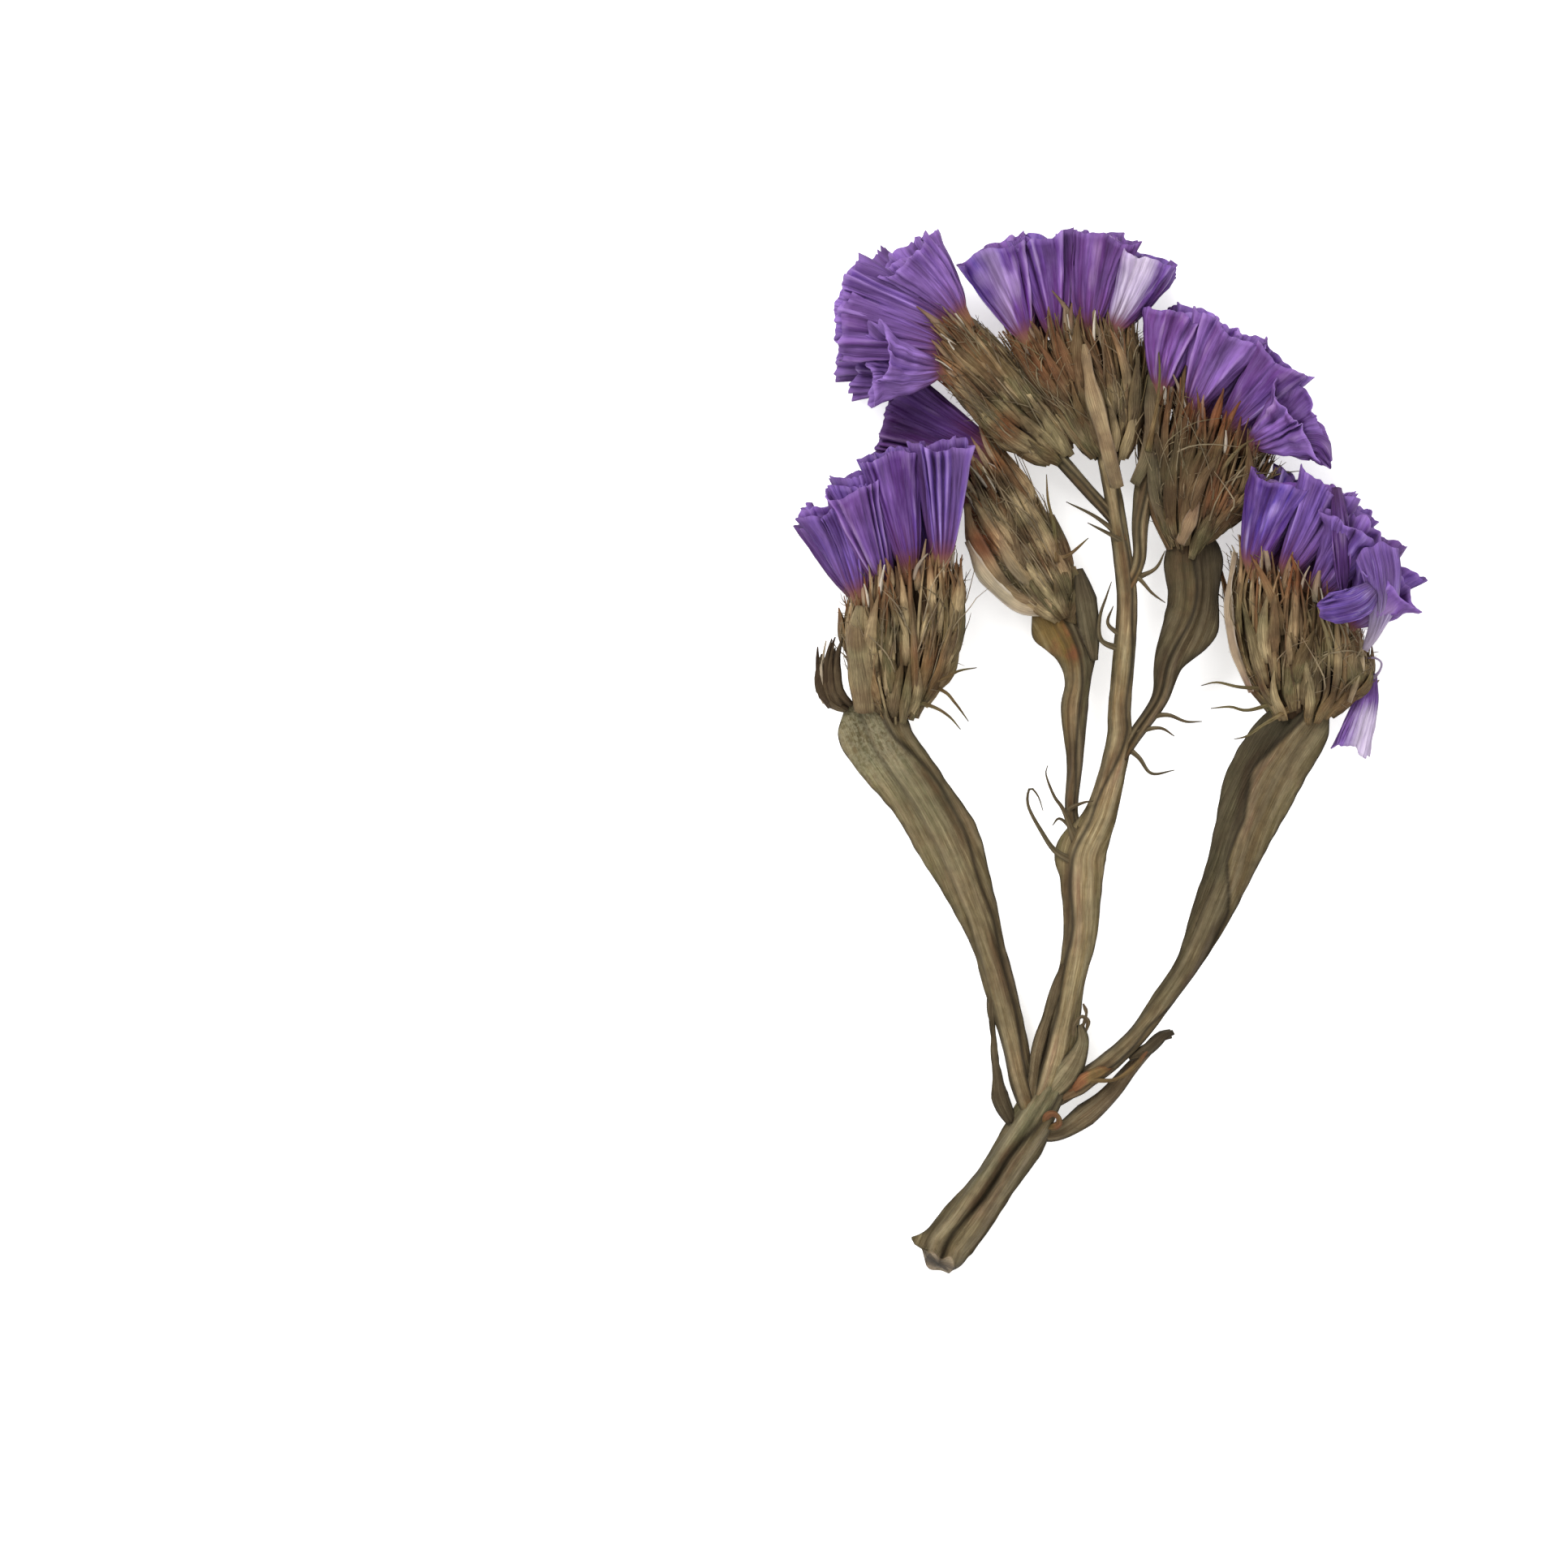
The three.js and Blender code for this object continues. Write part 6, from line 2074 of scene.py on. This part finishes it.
@dataclass(frozen=True)
class StemFinish(Finish):
    """The dried stems and wings, from grey-green to brown."""

    green: Shade = (130, 128, 92)
    brown: Shade = (170, 138, 94)
    light: Shade = (208, 192, 152)
    umber: Shade = (88, 68, 44)
    dark: Shade = (42, 34, 22)
    rust: Shade = (154, 92, 60)
    ochre: Shade = (132, 112, 44)
    rose: Shade = (184, 138, 112)
    olive: Shade = (130, 122, 66)
    moss: Shade = (84, 96, 62)
    pith: Shade = (196, 176, 150)
    speck: Shade = (190, 182, 150)

    def paint(self, coat: Coat) -> Socket:
        """Paints it grey-green to brown, veined, blotched, with dark worn edges.

        Its creases, the hollow of its cut end and its rounded sides get painted shade.

        Args:
            coat: The coat.

        Returns:
            The height of its relief.
        """
        coat.base = coat.mix(coat.mask("warm"), colour(*self.green), colour(*self.brown))
        coat.lay(self.rose, 0.5, coat.mask("rosy"))
        coat.lay(self.olive, 0.4, coat.mask("olive"))
        coat.lay(self.moss, 0.42, coat.mottle(scale=260.0, contrast=6.0))
        coat.lay(self.pith, 0.85, coat.mask("cut"))
        veins = coat.fibres(across=2.6, along=0.16, contrast=5.0)
        coat.lay(self.light, 0.46, veins)
        fine = coat.fibres(across=11.0, along=0.4, contrast=4.6)
        coat.lay(self.umber, 0.46, fine)
        coat.lay(self.umber, 0.75, coat.mask("shadow"))
        torn = coat.mask("rusty")
        coat.lay(self.ochre, 0.75, torn)
        patches = coat.sums("ADD", coat.mottle(scale=420.0, contrast=7.0), 0.2)
        coat.lay(self.rust, 0.85, coat.sums("MULTIPLY", torn, patches))
        coat.lay(self.rust, 0.12, coat.mottle(scale=520.0, contrast=6.0))
        coat.lay(self.dark, 0.2, coat.mottle(scale=1500.0, contrast=5.0))
        specks = coat.mottle(scale=4600.0, contrast=6.0)
        coat.lay(self.speck, 0.4, coat.sums("MULTIPLY", specks, coat.mask("specks")))
        # The dark mask holds the stretch's own darkness and painted shade on the rounded sides.
        coat.lay(self.dark, 0.72, coat.mask("dark"))
        # Painted shade in the creases and in the hollow of the cut end.
        coat.lay(self.dark, 0.85, coat.mask("groove"))
        worn = coat.sums("ADD", coat.mottle(scale=900.0, contrast=5.0), 0.45)
        coat.lay(self.dark, 0.9, coat.sums("MULTIPLY", coat.mask("edge"), worn))
        return coat.sums("ADD", coat.sums("MULTIPLY", veins, 0.5), fine)


@dataclass(frozen=True)
class Studio:
    """The pale surface, which glows like a light table, the soft lights and the camera above.

    Lengths are millimetres in the sprig's layout, apart from the lights' places and sizes.
    """

    centre: tuple[float, float, float] = (-20.15, -2.05, 4.0)
    view: float = 96.6
    distance: float = 600.0
    sensor: float = 36.0
    floor_white: float = 0.92
    floor_glow: float = 0.5
    room_light: float = 0.82
    lights: tuple[tuple[str, tuple[float, float, float], float, float], ...] = (
        ("key_light", (-0.3, 0.4, 0.6), 0.35, 4.2),
        ("fill_light", (0.45, -0.35, 0.6), 0.7, 1.6),
    )

    def place_camera(self) -> None:
        """Places the camera and makes it the scene's."""
        deselect()
        x, y, z = (part + moved for part, moved in zip(self.centre, SHIFT))
        place = (x * MM, y * MM, (z + self.distance) * MM)
        bpy.ops.object.camera_add(location=place, rotation=(0, 0, 0))
        camera = bpy.context.object
        camera.name = "camera_above"
        camera.data.sensor_width = self.sensor
        camera.data.lens = self.sensor * self.distance / self.view
        bpy.context.scene.camera = camera

    def lay_floor(self) -> None:
        """Lays the pale surface."""
        deselect()
        bpy.ops.mesh.primitive_plane_add(size=3, location=(0, 0, 0))
        floor = bpy.context.object
        floor.name = "pale_surface"
        material = bpy.data.materials.new("pale_surface")
        material.use_nodes = True
        shader = material.node_tree.nodes["Principled BSDF"]
        white = self.floor_white
        shader.inputs["Base Color"].default_value = (white, white, white, 1)
        shader.inputs["Roughness"].default_value = 0.9
        shader.inputs["Emission Color"].default_value = (1, 1, 1, 1)
        shader.inputs["Emission Strength"].default_value = self.floor_glow
        floor.data.materials.append(material)

    def hang_lights(self) -> None:
        """Hangs the soft lights, which look at the sprig, and lights the room evenly."""
        for name, place, size, power in self.lights:
            deselect()
            bpy.ops.object.light_add(type="AREA", location=place)
            light = bpy.context.object
            light.name = name
            light.data.size = size
            light.data.energy = power
            aim = -np.array(place) / np.linalg.norm(place)
            light.rotation_euler = (math.acos(-aim[2]), 0, math.atan2(-aim[0], aim[1]))
        world = bpy.data.worlds.new("studio")
        world.use_nodes = True
        room = world.node_tree.nodes["Background"]
        room.inputs["Color"].default_value = (1, 1, 1, 1)
        room.inputs["Strength"].default_value = self.room_light
        bpy.context.scene.world = world
        bpy.context.scene.view_settings.view_transform = "Standard"


def loose_calyx(seed: int) -> Calyces:
    """Plans the single calyx that hangs beside the lower right head.

    Args:
        seed: What its draws start from.

    Returns:
        The calyx.
    """
    throat = (15.9, 3.6, 4.1)
    plan = HeadPlan("loose", (throat,) * 3, (throat,) * 3, (throat,) * 3, (), mouth=0.62, pleats=9)
    spikelet = Spikelet(
        root=np.array([16.3, 6.1, 4.4]),
        throat=np.array(throat),
        rim=np.array([14.9, 0.1, 3.4]),
        mouth=plan.mouth,
        turn=0.0,
        depth=1.0,
    )
    return Calyces("loose_calyx_paper", "loose_calyx", [spikelet], plan, seed)


def main() -> None:
    """Builds the sprig and the studio."""
    logging.basicConfig(level=logging.INFO, format="%(name)s: %(message)s")
    studio = Studio()
    studio.place_camera()
    studio.lay_floor()
    studio.hang_lights()
    effects = Effects(fibre_effect(), mottle_effect())
    violet = PaperFinish("violet_paper", roughness=0.5, relief=0.06, through_light=0.25)
    paper = violet.make(effects)
    straw = BractFinish("dried_bract", roughness=0.85, relief=0.06).make(effects)
    wood = StemFinish("dried_stem", roughness=0.8, relief=0.08).make(effects)
    for number, plan in enumerate(HEADS):
        spikelets = Calyces.spikelets_of(plan, number)
        name = f"{plan.name}_calyx_paper"
        Calyces(name, f"{plan.name}_calyces", spikelets, plan, seed=100 + number).build(paper)
        Bracts(plan, seed=200 + number).build(straw)
    loose_calyx(seed=300).build(paper)
    Stem(seed=400).build(wood)


if __name__ == "__main__":
    main()
